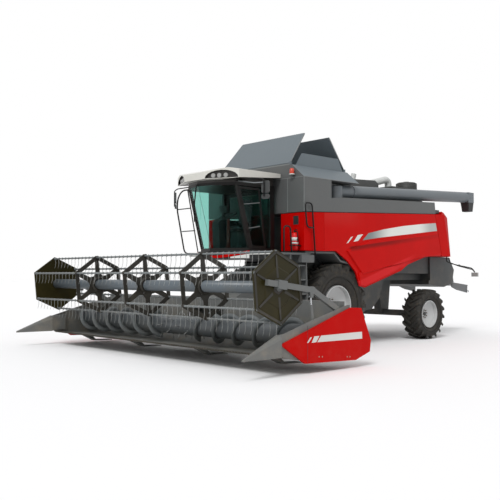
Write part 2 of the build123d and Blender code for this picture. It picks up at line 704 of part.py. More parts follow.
with BuildPart() as cab_frame:
    side_outline = [(cab_low_front, cab_floor_z), (cab_rear, cab_floor_z), (cab_rear, cab_head_z),
                    (cab_top_front, cab_head_z)]
    prism(side_outline, -cab_half, cab_half)
    prism([(-2600, cab_floor_z + pillar), (cab_rear - pillar, cab_floor_z + pillar),
           (cab_rear - pillar, cab_head_z - pillar), (-2600, cab_head_z - pillar)],
          -cab_half + pillar, cab_half - pillar, Mode.SUBTRACT)
    window = [(lean(cab_floor_z + pillar) + pillar, cab_floor_z + pillar),
              (window_rear, cab_floor_z + pillar), (window_rear, cab_head_z - pillar),
              (lean(cab_head_z - pillar) + pillar, cab_head_z - pillar)]
    prism(window, -cab_half - 10, cab_half + 10, Mode.SUBTRACT)
    block((-cab_half + 150, cab_half - 150), (cab_rear - pillar - 10, cab_rear + 10),
          (cab_floor_z + 500, cab_head_z - 150), Mode.SUBTRACT)
    for low, high, level in ((cab_floor_z, cab_floor_z + pillar, cab_floor_z + pillar),
                             (cab_head_z - pillar, cab_head_z, cab_head_z - pillar)):
        front = bowed(cab_half - 1, lean(level))
        plan([(cab_half - 1, lean(level) + pillar - 1), *front, (-cab_half + 1, lean(level) + pillar - 1)],
             low, high)
    for z in hinge_spots:
        rod(hinge_point(z - hinge_half - 15), hinge_point(z + hinge_half + 15), hinge_pin_r)
        for low, high in ((-hinge_half - 15, -hinge_half), (hinge_half, hinge_half + 15)):
            rod(hinge_point(z + low), hinge_point(z + high), hinge_r)
            front_y = hinge_point(z + low)[1] - 30
            middle = z + (low + high) / 2
            block((cab_half - 1, hinge_x), (front_y, front_y + 26), (middle - 3, middle + 3))
keep(cab_frame, "cab_frame")
def lamp_plane(side):
    """The back of the arched recess at this side of the roof's front, with its Y up."""
    middle_x, middle_y = ((a + b) / 2 for a, b in zip(roof_nose, roof_corner))
    run_x, run_y = roof_nose[0] - roof_corner[0], roof_nose[1] - roof_corner[1]
    out_x, out_y = -run_y / hypot(run_x, run_y), run_x / hypot(run_x, run_y)
    origin = (side * (middle_x - out_x * arch_depth), aft(middle_y - out_y * arch_depth), 0)
    return Plane(origin=origin, x_dir=(-run_x, -side * run_y, 0), z_dir=(side * out_x, out_y, 0))


arch = [(arch_half * cos(pi * k / 10), arch_low_z + (arch_top_z - arch_low_z) * sin(pi * k / 10))
        for k in range(11)]
with BuildPart() as cab_roof:
    plan([(-890, -1250), (-1000, -2250), (-roof_corner[0], roof_corner[1]), (-roof_nose[0], roof_nose[1]),
          roof_nose,
          roof_corner, (1000, -2250), (890, -1250)], roof_low_z, roof_top_z)
    prism(roof_under, -1200, 1200, Mode.SUBTRACT)
    prism([*roof_slope, (-1900, 4200), (-3100, 4200)], -1200, 1200, Mode.SUBTRACT)
    prism([(-1700, roof_top_z), (-1100, 3870), (-1100, 4200), (-1700, 4200)], -1200, 1200, Mode.SUBTRACT)
    with BuildSketch(Plane.XZ.offset(-aft(-1900))) as crown:
        with BuildLine():
            Polyline(*roof_crown, *[(-x, z) for x, z in reversed(roof_crown)], close=True)
        make_face()
    extrude(crown.sketch, amount=1200, both=True, mode=Mode.INTERSECT)
    for side in (1, -1):
        with BuildSketch(lamp_plane(side)) as arch_face:
            with BuildLine():
                Polyline(*arch, close=True)
            make_face()
        extrude(arch_face.sketch, amount=arch_depth + 200, mode=Mode.SUBTRACT)
    plan([(780, -1380), *bowed(780, lean(cab_head_z) + 20), (-780, -1380)], cab_head_z, roof_low_z + 10)
    block((-780, 780), (-2300, -1380), (roof_low_z, roof_band_top))
keep(cab_roof, "cab_roof")
with BuildPart() as cab_glass:
    low_z = cab_floor_z + pillar + glass_fit
    high_z = cab_head_z - pillar - glass_fit
    rings = []
    for z in (low_z, high_z):
        front = bowed(cab_half - pillar - glass_fit, lean(z) + 20)
        back = bowed(cab_half - pillar - glass_fit, lean(z) + 20 + glass_t)
        rings.append([Vector(x, aft(y), z) for x, y in front + back[::-1]])
    add(skin(rings, flat=True))
    rear_y = window_rear - glass_fit
    pane = [(lean(cab_floor_z + pillar) + pillar + glass_fit, low_z), (rear_y, low_z), (rear_y, high_z),
            (lean(cab_head_z - pillar) + pillar + glass_fit, high_z)]
    prism(pane, -cab_half + 20, -cab_half + 20 + glass_t)
    quarter = [(door_rear_low + glass_fit, low_z), (rear_y, low_z), (rear_y, high_z),
               (door_rear_top + glass_fit, high_z)]
    prism(quarter, cab_half - 20 - glass_t, cab_half - 20)
    block((-cab_half + 150 + glass_fit, cab_half - 150 - glass_fit), (cab_rear - 40, cab_rear - 40 + glass_t),
          (cab_floor_z + 500 + glass_fit, cab_head_z - 150 - glass_fit))
keep(cab_glass, "cab_glass")
door_low_z = cab_floor_z + pillar + door_gap
door_high_z = cab_head_z - pillar - door_head_gap
door_outer = [(lean(door_low_z) + pillar + door_gap, door_low_z), (door_rear_low - door_gap, door_low_z),
              (door_rear_top - door_gap, door_high_z), (lean(door_high_z) + pillar + door_gap, door_high_z)]
door_bar = 45
door_inner = [(door_outer[0][0] + door_bar, door_low_z + door_bar),
              (door_outer[1][0] - door_bar - 5, door_low_z + door_bar),
              (door_outer[2][0] - door_bar - 5, door_high_z - door_bar),
              (door_outer[3][0] + door_bar, door_high_z - door_bar)]
with BuildPart() as door_frame:
    prism(door_outer, cab_half - 45, cab_half - 5)
    prism(door_inner, cab_half - 60, cab_half + 10, Mode.SUBTRACT)
    for z in hinge_spots:
        start = hinge_point(z - hinge_half + rest_gap)
        rod(start, hinge_point(z + hinge_half - rest_gap), hinge_r)
        block((cab_half - 10, cab_half + 5), (start[1] + 6, start[1] + 40),
              (z - hinge_half + 5, z + hinge_half - 5))
        rod(hinge_point(z - hinge_half - 1), hinge_point(z + hinge_half + 1), hinge_pin_r + running_gap,
            Mode.SUBTRACT)
keep(door_frame, "door_frame")
with BuildPart() as door_glass:
    prism([(y + dy, z + dz) for (y, z), (dy, dz) in zip(door_inner, ((1, 1), (-1, 1), (-1, -1), (1, -1)))],
          cab_half - 30, cab_half - 30 + glass_t)
keep(door_glass, "door_glass")
inner_floor = cab_floor_z + pillar
with BuildPart() as seat:
    block((-240, 240), (-1900, -1450), (2600, 2720))
    prism([(-1540, 2719), (-1440, 2719), (-1425, 3350), (-1500, 3350)], -220, 220)
    block((-150, 150), (-1850, -1520), (inner_floor + rest_gap, 2601))
keep(seat, "seat")
wheel_tilt = Plane(origin=(0, aft(-2010), 2930), z_dir=(0, 0.5, 1))
with BuildPart() as steering:
    rod((0, -1990, inner_floor + rest_gap), (0, -1990, 2920), 40)
    with Locations(wheel_tilt):
        Torus(200, 18)
        Cylinder(70, 40)
        for turn in (0, 60, 120):
            with Locations(Location((0, 0, 0), (0, 0, turn))):
                Box(400, 22, 14)
keep(steering, "steering")
with BuildPart() as console:
    prism([(-1950, inner_floor + rest_gap), (-1500, inner_floor + rest_gap), (-1500, 2860), (-1900, 2900),
           (-1990, 2800)], -560, -330)
keep(console, "console")

# Platforms beside the cab, fenders over the front wheels, and the ladder down the left side
fender_outline = [(-1150, 2140), (-1150, 2060), (-1020, 2060), (-960, 2105), (-220, 2105), (0, 1930),
                  (337, 1871),
                  (633, 1700), (807, 1510), (831, 1527), (652, 1722), (347, 1899), (10, 1962), (-200, 2145)]
ladder_front, ladder_rear = -1690, -1190
with BuildPart() as platform:
    for side, wide in ((1, 1600), (-1, 1300)):
        plan([(side * (cab_half + 60 + rest_gap), -2150), (side * wide, -2050), (side * wide, -1150),
              (side * (cab_half + 60 + rest_gap), -1150)], 2060, 2100)
        prism(fender_outline, side * (body_x + 10), side * (panel_x - panel_t - 5))
    for y in (ladder_front, ladder_rear - 25):
        with BuildSketch(Plane.XZ.offset(-aft(y))) as cheek:
            with BuildLine():
                Polyline((1330, 2070), (1598, 2070), (1640, 560), (1440, 560), close=True)
            make_face()
        extrude(cheek.sketch, amount=-25)
    block((1310, 1640), (ladder_rear - 200, -1000), (1900, 2061))
    for step in range(5):
        height = 620 + 300 * step
        block((1440 - step * 20, 1625 - step * 8), (ladder_front + 10, ladder_rear - 10),
              (height, height + 30))
keep(platform, "platform")

# Mirrors on arms from the roof's front corners, the cleaning rail on the right and the platform rails
with BuildPart() as mirrors:
    for side in (1, -1):
        rail([(side * 780, -2440, roof_low_z - 12 - rest_gap),
              (side * 1300, -2440, roof_low_z - 12 - rest_gap),
              (side * 1490, -2330, 3540),
              (side * 1490, -2330, 3250)], 60, 12)
        block((side * 1400, side * 1590), (-2320, -2260), (3190, 3560))
keep(mirrors, "mirrors")
with BuildPart() as rails:
    rail([(-cab_half - 10, lean(3400) + 30, 3400), (-1150, lean(3400), 3380), (-1150, lean(3150), 3150),
          (-1120, lean(2120), 2110)], 60, 14)
    for height in (3080, 2640, 2200):
        rod((-cab_half - 1, lean(height) + 30, height), (-1140, lean(height), height), 10)
    rail([(1620, ladder_rear + 60, 2061.8), (1620, ladder_rear + 20, 3170), (1620, ladder_rear - 120, 3170),
          (1620, ladder_rear - 80, 2760), (1620, ladder_rear + 10, 2760)], 60, 14)
    rail([(1585, ladder_front - 60, 2100 + rest_gap), (1585, ladder_front - 60, 2680),
          (1585, ladder_front + 60, 2680), (1585, ladder_front + 60, 2100 + rest_gap)], 55, 14)
keep(rails, "rails")

# Lamps: roof and body lamps, tail lamps on their bent arms, and the beacon
with BuildPart() as lamps:
    for side in (1, -1):
        with BuildSketch(lamp_plane(side).offset(rest_gap)):
            for spot in roof_lamp_spots:
                with Locations((side * spot, roof_lamp_z)):
                    Circle(roof_lamp_r)
        extrude(amount=arch_depth - 15)
    for side in (1, -1):
        rail([(side * 1250, 4800, 2130 - rest_gap), (side * 1250, 4800, 2000), (side * 1400, 5150, 1880),
              (side * 1650, 5450, 1780), (side * 1690, 5500, 1700)], 40, 14)
        block((side * 1600, side * 1780), (5470, 5530), (1590, 1700))
keep(lamps, "lamps")
beacon_x = 1360
beacon_z = tank_fold_z + (panel_x - beacon_x) / (panel_x - tank_rim_x) * (tank_rim_z - tank_fold_z)
with BuildPart() as beacon:
    rod((beacon_x, -1190, beacon_z + 13), (beacon_x, -1190, beacon_z + 50), 15)
    rod((beacon_x, -1190, beacon_z + 50), (beacon_x, -1190, beacon_z + 150), 50)
keep(beacon, "beacon")

# Feeder house: a closed channel with an open mouth, hung on the top drum
drum_place = (feeder_pivot_y, feeder_pivot_z)
mouth_front = back_sheet_y + 150 + rest_gap
with BuildPart() as feeder_house:
    prism([(mouth_front, feeder_mouth_low), (mouth_front, feeder_mouth_high - 40), (-2350, 1190),
           (-860, 1868),
           (-560, 1426), (-2100, 540)], -feeder_half, feeder_half)
    cross_rod(-feeder_half, feeder_half, drum_place, feeder_drum_r)
    block((-mouth_half, mouth_half), (mouth_front - 10, mouth_front + mouth_depth),
          (feeder_mouth_low + 90, feeder_mouth_high - 120), Mode.SUBTRACT)
    cross_rod(-feeder_half - 60, feeder_half + 60, drum_place, 60)
    for side in (1, -1):
        for ear in (-1, 1):
            x_mid = side * lift_x + ear * (lift_rod_r + 22)
            prism([(-2150, 560), (-1750, 760), (-1850, lift_eye[1] - 50), (-2020, lift_eye[1] - 50)],
                  x_mid - 9, x_mid + 9)
        cross_rod(side * lift_x - lift_rod_r - 31, side * lift_x + lift_rod_r + 31, lift_eye, 18)
keep(feeder_house, "feeder_house")


# Rams: barrels with a base eye, and rods that end in an eye with room round its pin
def ram_barrel(x, base, eye, length, barrel_r, rod_r, pin_r):
    """A barrel on its base pin, bored for its rod."""
    tip = between(base, eye, length / hypot(eye[0] - base[0], eye[1] - base[1]))
    start = between(base, eye, barrel_r * 0.6 / hypot(eye[0] - base[0], eye[1] - base[1]))
    bore = between(base, eye, 0.12)
    rod((x, *start), (x, *tip), barrel_r)
    cross_rod(x - rod_r, x + rod_r, base, barrel_r * 0.9)
    rod((x, *bore), (x, *between(base, tip, 1.1)), rod_r + running_gap, Mode.SUBTRACT)
    cross_rod(x - barrel_r * 2, x + barrel_r * 2, base, pin_r + running_gap, Mode.SUBTRACT)


def ram_rod(x, base, eye, rod_r, eye_r, hole_r, buried):
    """A rod from inside its barrel to its eye."""
    neck = between(eye, base, (eye_r - 5) / hypot(eye[0] - base[0], eye[1] - base[1]))
    rod((x, *between(base, eye, buried)), (x, *neck), rod_r)
    cross_rod(x - rod_r, x + rod_r, eye, eye_r)
    cross_rod(x - rod_r * 2, x + rod_r * 2, eye, hole_r, Mode.SUBTRACT)


with BuildPart() as lift_barrels:
    for side in (1, -1):
        ram_barrel(side * lift_x, lift_base, lift_eye, lift_barrel_len, lift_barrel_r, lift_rod_r, 25)
keep(lift_barrels, "lift_barrels")
with BuildPart() as lift_rods:
    for side in (1, -1):
        ram_rod(side * lift_x, lift_base, lift_eye, lift_rod_r, 45, 30, 0.4)
keep(lift_rods, "lift_rods")

# Header: bent sheet with its floor and back, beams, end panels, dividers, knife and skids
header_profile = [(cutter_y, cutter_z + 12), (cutter_y, cutter_z - 12), (-3780, 235), (-3100, 205),
                  (-2860, 330),
                  (back_sheet_y + 35, 520), (back_sheet_y + 35, back_sheet_z), (back_sheet_y, back_sheet_z),
                  (back_sheet_y, 535), (-2890, 360), (-3110, 240), (-3770, 270)]
beam_rear = back_sheet_y + 150
arm_pivot = (arm_pivot_y, arm_pivot_z)
ram_x = (arm_in + arm_out) / 2
sheet_x = header_half_inner - end_sheet_t
end_nose = -4239
end_outline = [(end_nose, 522), (-3690, 182), (-2390, 140), (-1990, 262), (-1960, 462), (-2230, 1050),
               (-2480, 1062)]
end_sheet_outline = [(end_nose, 345), (end_nose, 665), (-3505, 872), (-2556, 1108), (-2480, 1110),
                     (-2480, 545),
                     (-2860, 329), (-3100, 204), (-3780, 234), (cutter_y, 302)]
with BuildPart() as header_frame:
    prism(header_profile, -header_half_inner, header_half_inner)
    block((-header_half_inner, header_half_inner), (back_sheet_y + 34, beam_rear),
          (back_sheet_z - 110, back_sheet_z))
    block((-mouth_half, mouth_half), (back_sheet_y - 20, back_sheet_y + 36), (540, 960), Mode.SUBTRACT)
    block((-feeder_half - 80, feeder_half + 80), (back_sheet_y + 20, beam_rear), (feeder_mouth_low, 389))
    for side in (1, -1):
        block((side * (feeder_half + 10), side * (header_half_inner - 1)), (back_sheet_y + 34, beam_rear),
              (430, 560))
        block((side * (feeder_half + 10), side * (feeder_half + 80)), (back_sheet_y + 34, beam_rear),
              (300, back_sheet_z - 100))
        for x in (feeder_half + 60, header_half * 0.57, arm_in - 110):
            prism([(-3600, 232), (-3100, 130), (-2450, 140), (beam_rear, 560), (back_sheet_y + 35, 520),
                   (-2860, 329), (-3100, 204)], side * x, side * (x + 20))
        for x in (header_half * 0.285, header_half * 0.8):
            prism([(-3780, 236), (-3500, 100), (-3050, 90), (-3050, 105), (-3480, 120), (-3600, 232)],
                  side * x - 90, side * x + 90)
        block((side * (arm_in - 10), side * (header_half_inner + 1)), (back_sheet_y - 300, beam_rear + 1),
              (840, back_sheet_z + 1), Mode.SUBTRACT)
        prism([(arm_pivot_y - 65, 900), (arm_pivot_y + 80, 900), (arm_pivot_y + 80, back_sheet_z - 20),
               (arm_pivot_y - 65, back_sheet_z - 20)], side * (arm_in - 45), side * (arm_in - 10))
        cross_rod(side * (arm_in - 45), side * (sheet_x + 1), arm_pivot, arm_pin_r)
        prism(end_sheet_outline, side * sheet_x, side * header_half_inner)
        x_in = side * (header_half_inner - 70)
        prism([(-3350, 530), (-3210, 530), (-3210, 670), (-3350, 670)], x_in, side * (sheet_x + 1))
        cross_rod(x_in - side * 5, side * (header_half_inner - 19), (header_auger_y, header_auger_z),
                  40 + running_gap, Mode.SUBTRACT)
        cross_rod(side * (sheet_x - 11), side * (sheet_x + 1), reel_ram_base, 26)
        cross_rod(side * (ram_x - 24), side * (sheet_x + 1), reel_ram_base, 10)
keep(header_frame, "header_frame")
with BuildPart() as end_panels:
    for side in (1, -1):
        prism(end_outline, side * header_half_inner, side * header_half)
        plan([(side * (header_half + 1), end_seam_y), (side * (header_half + 1), end_nose - 10),
              (side * (header_half - end_nose_in), end_nose - 10)], 0, back_sheet_z, Mode.SUBTRACT)
keep(end_panels, "end_panels")
divider_tip = (-tip_ahead, 335)
with BuildPart() as dividers:
    for side in (1, -1):
        root = [Vector(side * (header_half - 90) + x, aft(end_nose - rest_gap), 500 + z)
                for x, z in ((-80, -180), (80, -180), (80, 110), (40, 180), (-40, 180), (-80, 110))]
        tip = [Vector(side * (header_half - 35) + x, aft(divider_tip[0]), divider_tip[1] + z)
               for x, z in ((-15, -15), (15, -15), (15, 8), (7, 16), (-7, 16), (-15, 8))]
        add(skin([root, tip]))
        prism([(end_nose - 1, 330), (end_nose - 1, 660), (-3900, 700), (-3900, 350)],
              side * (header_half_inner - 100), side * (sheet_x - rest_gap))
keep(dividers, "dividers")
with BuildPart() as cutterbar:
    block((-header_half_inner + 115, header_half_inner - 115), (cutter_y - 60, cutter_y - rest_gap),
          (cutter_z - 20, cutter_z + 14))
    half_run = header_half_inner - 140
    teeth = int(2 * half_run / guard_step)
    comb = [(half_run, cutter_y - 55), (-half_run, cutter_y - 55)]
    for k in range(teeth):
        middle = (k - (teeth - 1) / 2) * guard_step
        comb += [(middle - guard_w / 2, cutter_y - 62), (middle - 4, cutter_y - guard_len),
                 (middle + 4, cutter_y - guard_len), (middle + guard_w / 2, cutter_y - 62)]
    plan(comb, cutter_z - 16, cutter_z + 8)
keep(cutterbar, "cutterbar")
with BuildPart() as header_auger:
    auger_place = Location((0, aft(header_auger_y), header_auger_z))
    cross_rod(-header_half_inner + 130, header_half_inner - 130, (header_auger_y, header_auger_z),
              header_tube_r)
    run = header_half_inner - 140 - feed_half
    steps = round(run / flight_pitch * flight_facets)
    inner_r = header_tube_r * 0.97
    for side in (1, -1):
        rings = []
        for k in range(steps + 1):
            turn = 2 * pi * k / flight_facets
            x = side * (feed_half + run * k / steps)
            rings.append([around(x - flight_t / 2, inner_r, turn),
                          around(x - flight_t / 2, header_flight_r, turn),
                          around(x + flight_t / 2, header_flight_r, turn),
                          around(x + flight_t / 2, inner_r, turn)])
        add(auger_place * skin(rings))
    for k in range(12):
        x = (k - 5.5) * feed_half * 2 / 12
        turn = 2 * pi * k * 5 / 12
        reach = around(x, header_flight_r, turn)
        rod((x, header_auger_y, header_auger_z), (x, header_auger_y + reach.Y, header_auger_z + reach.Z),
            finger_r)
    cross_rod(-header_half_inner + 20, header_half_inner - 20, (header_auger_y, header_auger_z), 40)
keep(header_auger, "header_auger")

# Reel arms on the back beam, with the bearing of the reel's stub and the eye of the ram
reel_place = (reel_y, reel_z)
with BuildPart() as reel_arms:
    for side in (1, -1):
        prism(beam_outline(arm_pivot, arm_knee, arm_h), side * arm_in, side * arm_out)
        prism(beam_outline(arm_knee, arm_tip, arm_h), side * arm_in, side * arm_out)
        cross_rod(side * arm_in, side * arm_out, arm_knee, arm_h * 0.62)
        cross_rod(side * arm_in, side * arm_out, arm_pivot, arm_h * 0.62)
        for inner, outer in ((arm_in, arm_in + 20), (arm_out - 20, arm_out)):
            prism([(reel_ram_eye[0] - 50, 1390), (reel_ram_eye[0] + 50, 1380), (reel_ram_eye[0] + 30, 1255),
                   (reel_ram_eye[0] - 30, 1255)], side * inner, side * outer)
        cross_rod(side * arm_in, side * arm_out, reel_ram_eye, 8)
        cross_rod(side * (arm_in - 5), side * (arm_out + 5), arm_pivot, arm_pin_r + running_gap,
                  Mode.SUBTRACT)
keep(reel_arms, "reel_arms")

# Carriages that slide the reel along its arms
seat_share = (reel_y - arm_knee[0]) / (arm_tip[0] - arm_knee[0])
arm_run = hypot(arm_tip[0] - arm_knee[0], arm_tip[1] - arm_knee[1])
carriage_half = 100
carriage_wall = 24
with BuildPart() as reel_carriages:
    for side in (1, -1):
        ends = [between(arm_knee, arm_tip, seat_share + way * carriage_half / arm_run) for way in (-1, 1)]
        outer_h = arm_h + 2 * (rest_gap + carriage_wall)
        prism(beam_outline(*ends, outer_h), side * (reel_shield_x + 5), side * (arm_out + rest_gap + 12))
        prism(beam_outline(*ends, arm_h + 2 * rest_gap), side * (arm_in - rest_gap),
              side * (arm_out + rest_gap),
              Mode.SUBTRACT)
        cross_rod(side * (reel_shield_x + 5), side * (arm_in - rest_gap), reel_place, 60)
        cross_rod(side * (reel_shield_x + 4), side * (arm_in - rest_gap), reel_place,
                  reel_stub_r + running_gap,
                  Mode.SUBTRACT)
keep(reel_carriages, "reel_carriages")
with BuildPart() as reel_barrels:
    for side in (1, -1):
        ram_barrel(side * ram_x, reel_ram_base, reel_ram_eye, reel_ram_barrel_len, reel_ram_r,
                   reel_ram_rod_r, 10)
keep(reel_barrels, "reel_barrels")
with BuildPart() as reel_rods:
    for side in (1, -1):
        ram_rod(side * ram_x, reel_ram_base, reel_ram_eye, reel_ram_rod_r, 24, 17, 0.294)
keep(reel_rods, "reel_rods")

# Reel: tube, end shields, star spiders, tine bars with their tines
corner = [radians(90 - reel_turn + 360 / reel_bars * k) for k in range(reel_bars)]
bar_places = [(reel_y + reel_bar_r * cos(a), reel_z + reel_bar_r * sin(a)) for a in corner]
with BuildPart() as reel:
    cross_rod(-reel_shield_x, reel_shield_x, reel_place, reel_tube_r)
    for side in (1, -1):
        prism(bar_places, side * (reel_shield_x - 15), side * reel_shield_x)
        cross_rod(side * (reel_shield_x - 1), side * (arm_in - 2), reel_place, reel_stub_r)
    for x in star_x:
        for k, place in enumerate(bar_places):
            prism(beam_outline(reel_place, place, star_spoke), x - star_t / 2, x + star_t / 2)
            prism(beam_outline(place, bar_places[k - 1], star_rim), x - star_t / 2, x + star_t / 2)
        cross_rod(x - star_t, x + star_t, reel_place, reel_tube_r + 55)
    tine_run = reel_shield_x - 75
    tine_count = int(2 * tine_run / tine_step)
    for place in bar_places:
        cross_rod(-reel_shield_x + 1, reel_shield_x - 1, place, reel_bar_w / 2)
        comb = [(tine_run, place[1] + 10), (-tine_run, place[1] + 10)]
        for k in range(tine_count):
            middle = (k - (tine_count - 1) / 2) * tine_step
            comb += [(middle - tine_w / 2, place[1] - 18), (middle - tine_w / 4, place[1] - tine_len),
                     (middle + tine_w / 4, place[1] - tine_len), (middle + tine_w / 2, place[1] - 18)]
        with BuildSketch(Plane.XZ.offset(-aft(place[0]))) as teeth_face:
            with BuildLine():
                Polyline(*comb, close=True)
            make_face()
        extrude(teeth_face.sketch, amount=tine_w / 2, both=True)
keep(reel, "reel")
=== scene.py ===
# %% [markdown]
# # A combine harvester, dressed for its picture
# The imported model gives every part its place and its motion. This lesson gives the parts their looks: paint,
# rubber, glass and bare steel, and the small pieces that a plain solid leaves out. Lengths are metres, X is the
# machine's left, Y its rear and Z up, and the wheels stand on Z = 0.

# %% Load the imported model
import bpy, bmesh, json, math
from mathutils import Matrix, Vector


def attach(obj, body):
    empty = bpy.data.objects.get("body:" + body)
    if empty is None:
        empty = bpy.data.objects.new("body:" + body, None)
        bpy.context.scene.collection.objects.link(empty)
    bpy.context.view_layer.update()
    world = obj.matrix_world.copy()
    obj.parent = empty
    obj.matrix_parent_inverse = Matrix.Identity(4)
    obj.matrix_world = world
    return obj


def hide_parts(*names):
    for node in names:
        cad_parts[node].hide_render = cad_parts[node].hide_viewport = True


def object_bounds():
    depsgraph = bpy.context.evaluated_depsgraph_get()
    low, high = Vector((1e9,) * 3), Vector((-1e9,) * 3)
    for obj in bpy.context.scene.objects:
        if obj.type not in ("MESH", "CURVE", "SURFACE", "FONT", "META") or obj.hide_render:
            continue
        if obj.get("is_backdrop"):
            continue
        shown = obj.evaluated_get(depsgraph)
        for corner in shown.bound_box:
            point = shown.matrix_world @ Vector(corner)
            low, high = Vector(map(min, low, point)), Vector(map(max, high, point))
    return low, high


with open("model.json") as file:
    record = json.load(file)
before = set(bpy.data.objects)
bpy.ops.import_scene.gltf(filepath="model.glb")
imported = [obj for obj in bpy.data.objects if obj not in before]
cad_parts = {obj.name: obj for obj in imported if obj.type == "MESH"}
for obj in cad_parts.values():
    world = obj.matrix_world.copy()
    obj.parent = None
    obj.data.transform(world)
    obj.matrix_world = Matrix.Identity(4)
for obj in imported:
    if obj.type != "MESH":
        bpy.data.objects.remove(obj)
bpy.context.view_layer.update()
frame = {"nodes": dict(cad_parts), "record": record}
AXLE_Y = -0.705
SIDES = (("left", 1), ("right", -1))

# %% [markdown]
# ## The camera
# A product picture is taken with a long lens from a good distance, so that the machine keeps its proportions. It
# could be placed by eye, but here its place, turn and lens were worked out from edges whose lengths are known,
# and are simply typed in. No depth of field: the whole machine is sharp.

# %% Camera
CAMERA_PLACE, CAMERA_TILT, CAMERA_TURN = (11.912, -13.174, 1.641), 1.961, 46.938
LENS, SENSOR_WIDTH, FAR_END = 51.95, 36.0, 400.0


def stand_camera():
    """The picture's camera at its place, tilted up and turned by its degrees."""
    data = bpy.data.cameras.new("picture_camera")
    data.lens, data.sensor_width, data.clip_end = LENS, SENSOR_WIDTH, FAR_END
    camera = bpy.data.objects.new("picture_camera", data)
    camera.location = CAMERA_PLACE
    camera.rotation_euler = (math.radians(90 + CAMERA_TILT), 0, math.radians(CAMERA_TURN))
    bpy.context.scene.collection.objects.link(camera)
    bpy.context.scene.camera = camera


stand_camera()
bpy.context.scene.view_settings.view_transform = "Standard"
print("camera stands", round(math.hypot(*CAMERA_PLACE[:2]), 2), "m from the middle")

# %% [markdown]
# ## A way to write nodes
# Nodes can be placed by hand in the editors, but a machine has some thirty finishes, so they are written. One
# function makes any node, in a material, in a shape tree or in the world: it sets the node's options and fills its
# sockets with plain values or with links.

# %% One function for any node
def plug(tree, socket, value):
    """A link where the value is another node's output, else a plain value on the socket itself."""
    value = getattr(value, "socket", value)
    if isinstance(value, bpy.types.NodeSocket):
        tree.links.new(value, socket)
    else:
        socket.default_value = value


def new_node(tree, kind, values=None, out=0, **settings):
    """A new node: its settings first, then its sockets' values or links; gives one output."""
    made = tree.nodes.new(kind)
    for key, value in settings.items():
        setattr(made, key, value)
    for key, value in (values or {}).items():
        plug(tree, made.inputs[key], value)
    return made.outputs[out]


print("node writer ready")

# %% [markdown]
# ## A way to write materials
# A small class wraps a socket, so that sums of masks read like sums; each sum adds its own Math node. Another
# holds one material and the few nodes that all finishes are built from.

# %% Socket sums and the material kit
class Level:
    """A value that changes over the surface: a node's output that can be added and multiplied."""

    def __init__(self, kit, socket):
        self.kit, self.socket = kit, socket

    def _sum(self, operation, a, b):
        return self.kit.node("ShaderNodeMath", {0: a, 1: b}, operation=operation)

    def __add__(self, other): return self._sum("ADD", self, other)
    def __radd__(self, other): return self._sum("ADD", other, self)
    def __sub__(self, other): return self._sum("SUBTRACT", self, other)
    def __rsub__(self, other): return self._sum("SUBTRACT", other, self)
    def __mul__(self, other): return self._sum("MULTIPLY", self, other)


class Kit:
    """One material, its Principled shader and methods for the nodes that feed it."""

    def __init__(self, name):
        self.material = bpy.data.materials.new(name)
        self.material.use_nodes = True
        self.tree = self.material.node_tree
        self.shader = self.tree.nodes["Principled BSDF"]
        self.place = self.node("ShaderNodeTexCoord", out="Object")

    def node(self, kind, values=None, out=0, **settings):
        return Level(self, new_node(self.tree, kind, values, out, **settings))

    def finish(self, **sockets):
        """Values or links on the Principled shader, written with _ for a space."""
        for key, value in sockets.items():
            plug(self.tree, self.shader.inputs[key.replace("_", " ")], value)
        return self.material

    def noise(self, scale, detail, roughness=0.55, place=None):
        return self.node("ShaderNodeTexNoise", {"Vector": place or self.place, "Scale": scale, "Detail": detail,
                                                "Roughness": roughness})

    def axis(self, letter):
        return self.node("ShaderNodeSeparateXYZ", {0: self.place}, letter)

    def between(self, value, low, high):
        """0 below low, 1 above high, and a smooth change in between."""
        return self.node("ShaderNodeMapRange", {"Value": value, "From Min": low, "From Max": high},
                         interpolation_type="SMOOTHSTEP")

    def mix(self, share, first, second):
        """Two colours by a share; the node's colour sockets have the numbers 6, 7 and 2."""
        return self.node("ShaderNodeMix", {0: share, 6: first, 7: second}, 2, data_type="RGBA")

    def bump(self, height, distance, strength):
        return self.node("ShaderNodeBump", {"Height": height, "Distance": distance, "Strength": strength})


def tone(red, green, blue, share=1.0):
    """A colour as it is seen on a screen, 0 to 255, as the shader wants it."""
    def straight(v):
        v = v / 255
        return v / 12.92 if v <= 0.04045 else ((v + 0.055) / 1.055) ** 2.4
    return (*(straight(v) * share for v in (red, green, blue)), 1.0)


print("mid grey is", [round(v, 3) for v in tone(128, 128, 128)[:3]])

# %% [markdown]
# ## Sprayed paint
# Painted sheet metal is never one flat colour: the tone drifts from panel to panel, the coat has a faint orange
# peel, dust settles low down and in patches, and the gloss is duller under the dust. An image could show that,
# but noise on the object's own coordinates does it at any size and from any side.

# %% Paint
def paint(name, colour, gloss, dust, dust_top=1.6, dust_tone=(150, 140, 122), coat=0.0, drift=0.08, shine=0.5):
    """Sprayed paint: a drifting tone, orange peel, and dust that thins out upwards."""
    kit = Kit(name)
    broad, fine = kit.noise(0.9, 4), kit.noise(38.0, 3)
    drifting = kit.mix(broad, tone(*colour, 1 - drift), tone(*colour, 1 + drift))
    low = 1 - kit.between(kit.axis("Z"), dust_top * 0.2, dust_top)
    patch = kit.between(kit.noise(2.6, 5, 0.65), 0.42, 0.72)
    speck = kit.between(kit.noise(120.0, 2), 0.66, 0.74)
    cover = (low * 0.75 + 0.12) * (patch * 0.8 + 0.2) * dust + speck * 0.10 * dust
    return kit.finish(
        Base_Color=kit.mix(cover, drifting, tone(*dust_tone)),
        Roughness=gloss + fine * 0.07 + cover * 0.45,
        Coat_Weight=coat, Coat_Roughness=0.12, Specular_IOR_Level=shine,
        Normal=kit.bump(kit.noise(420.0, 2) + broad * 2, 0.0004, 0.6))


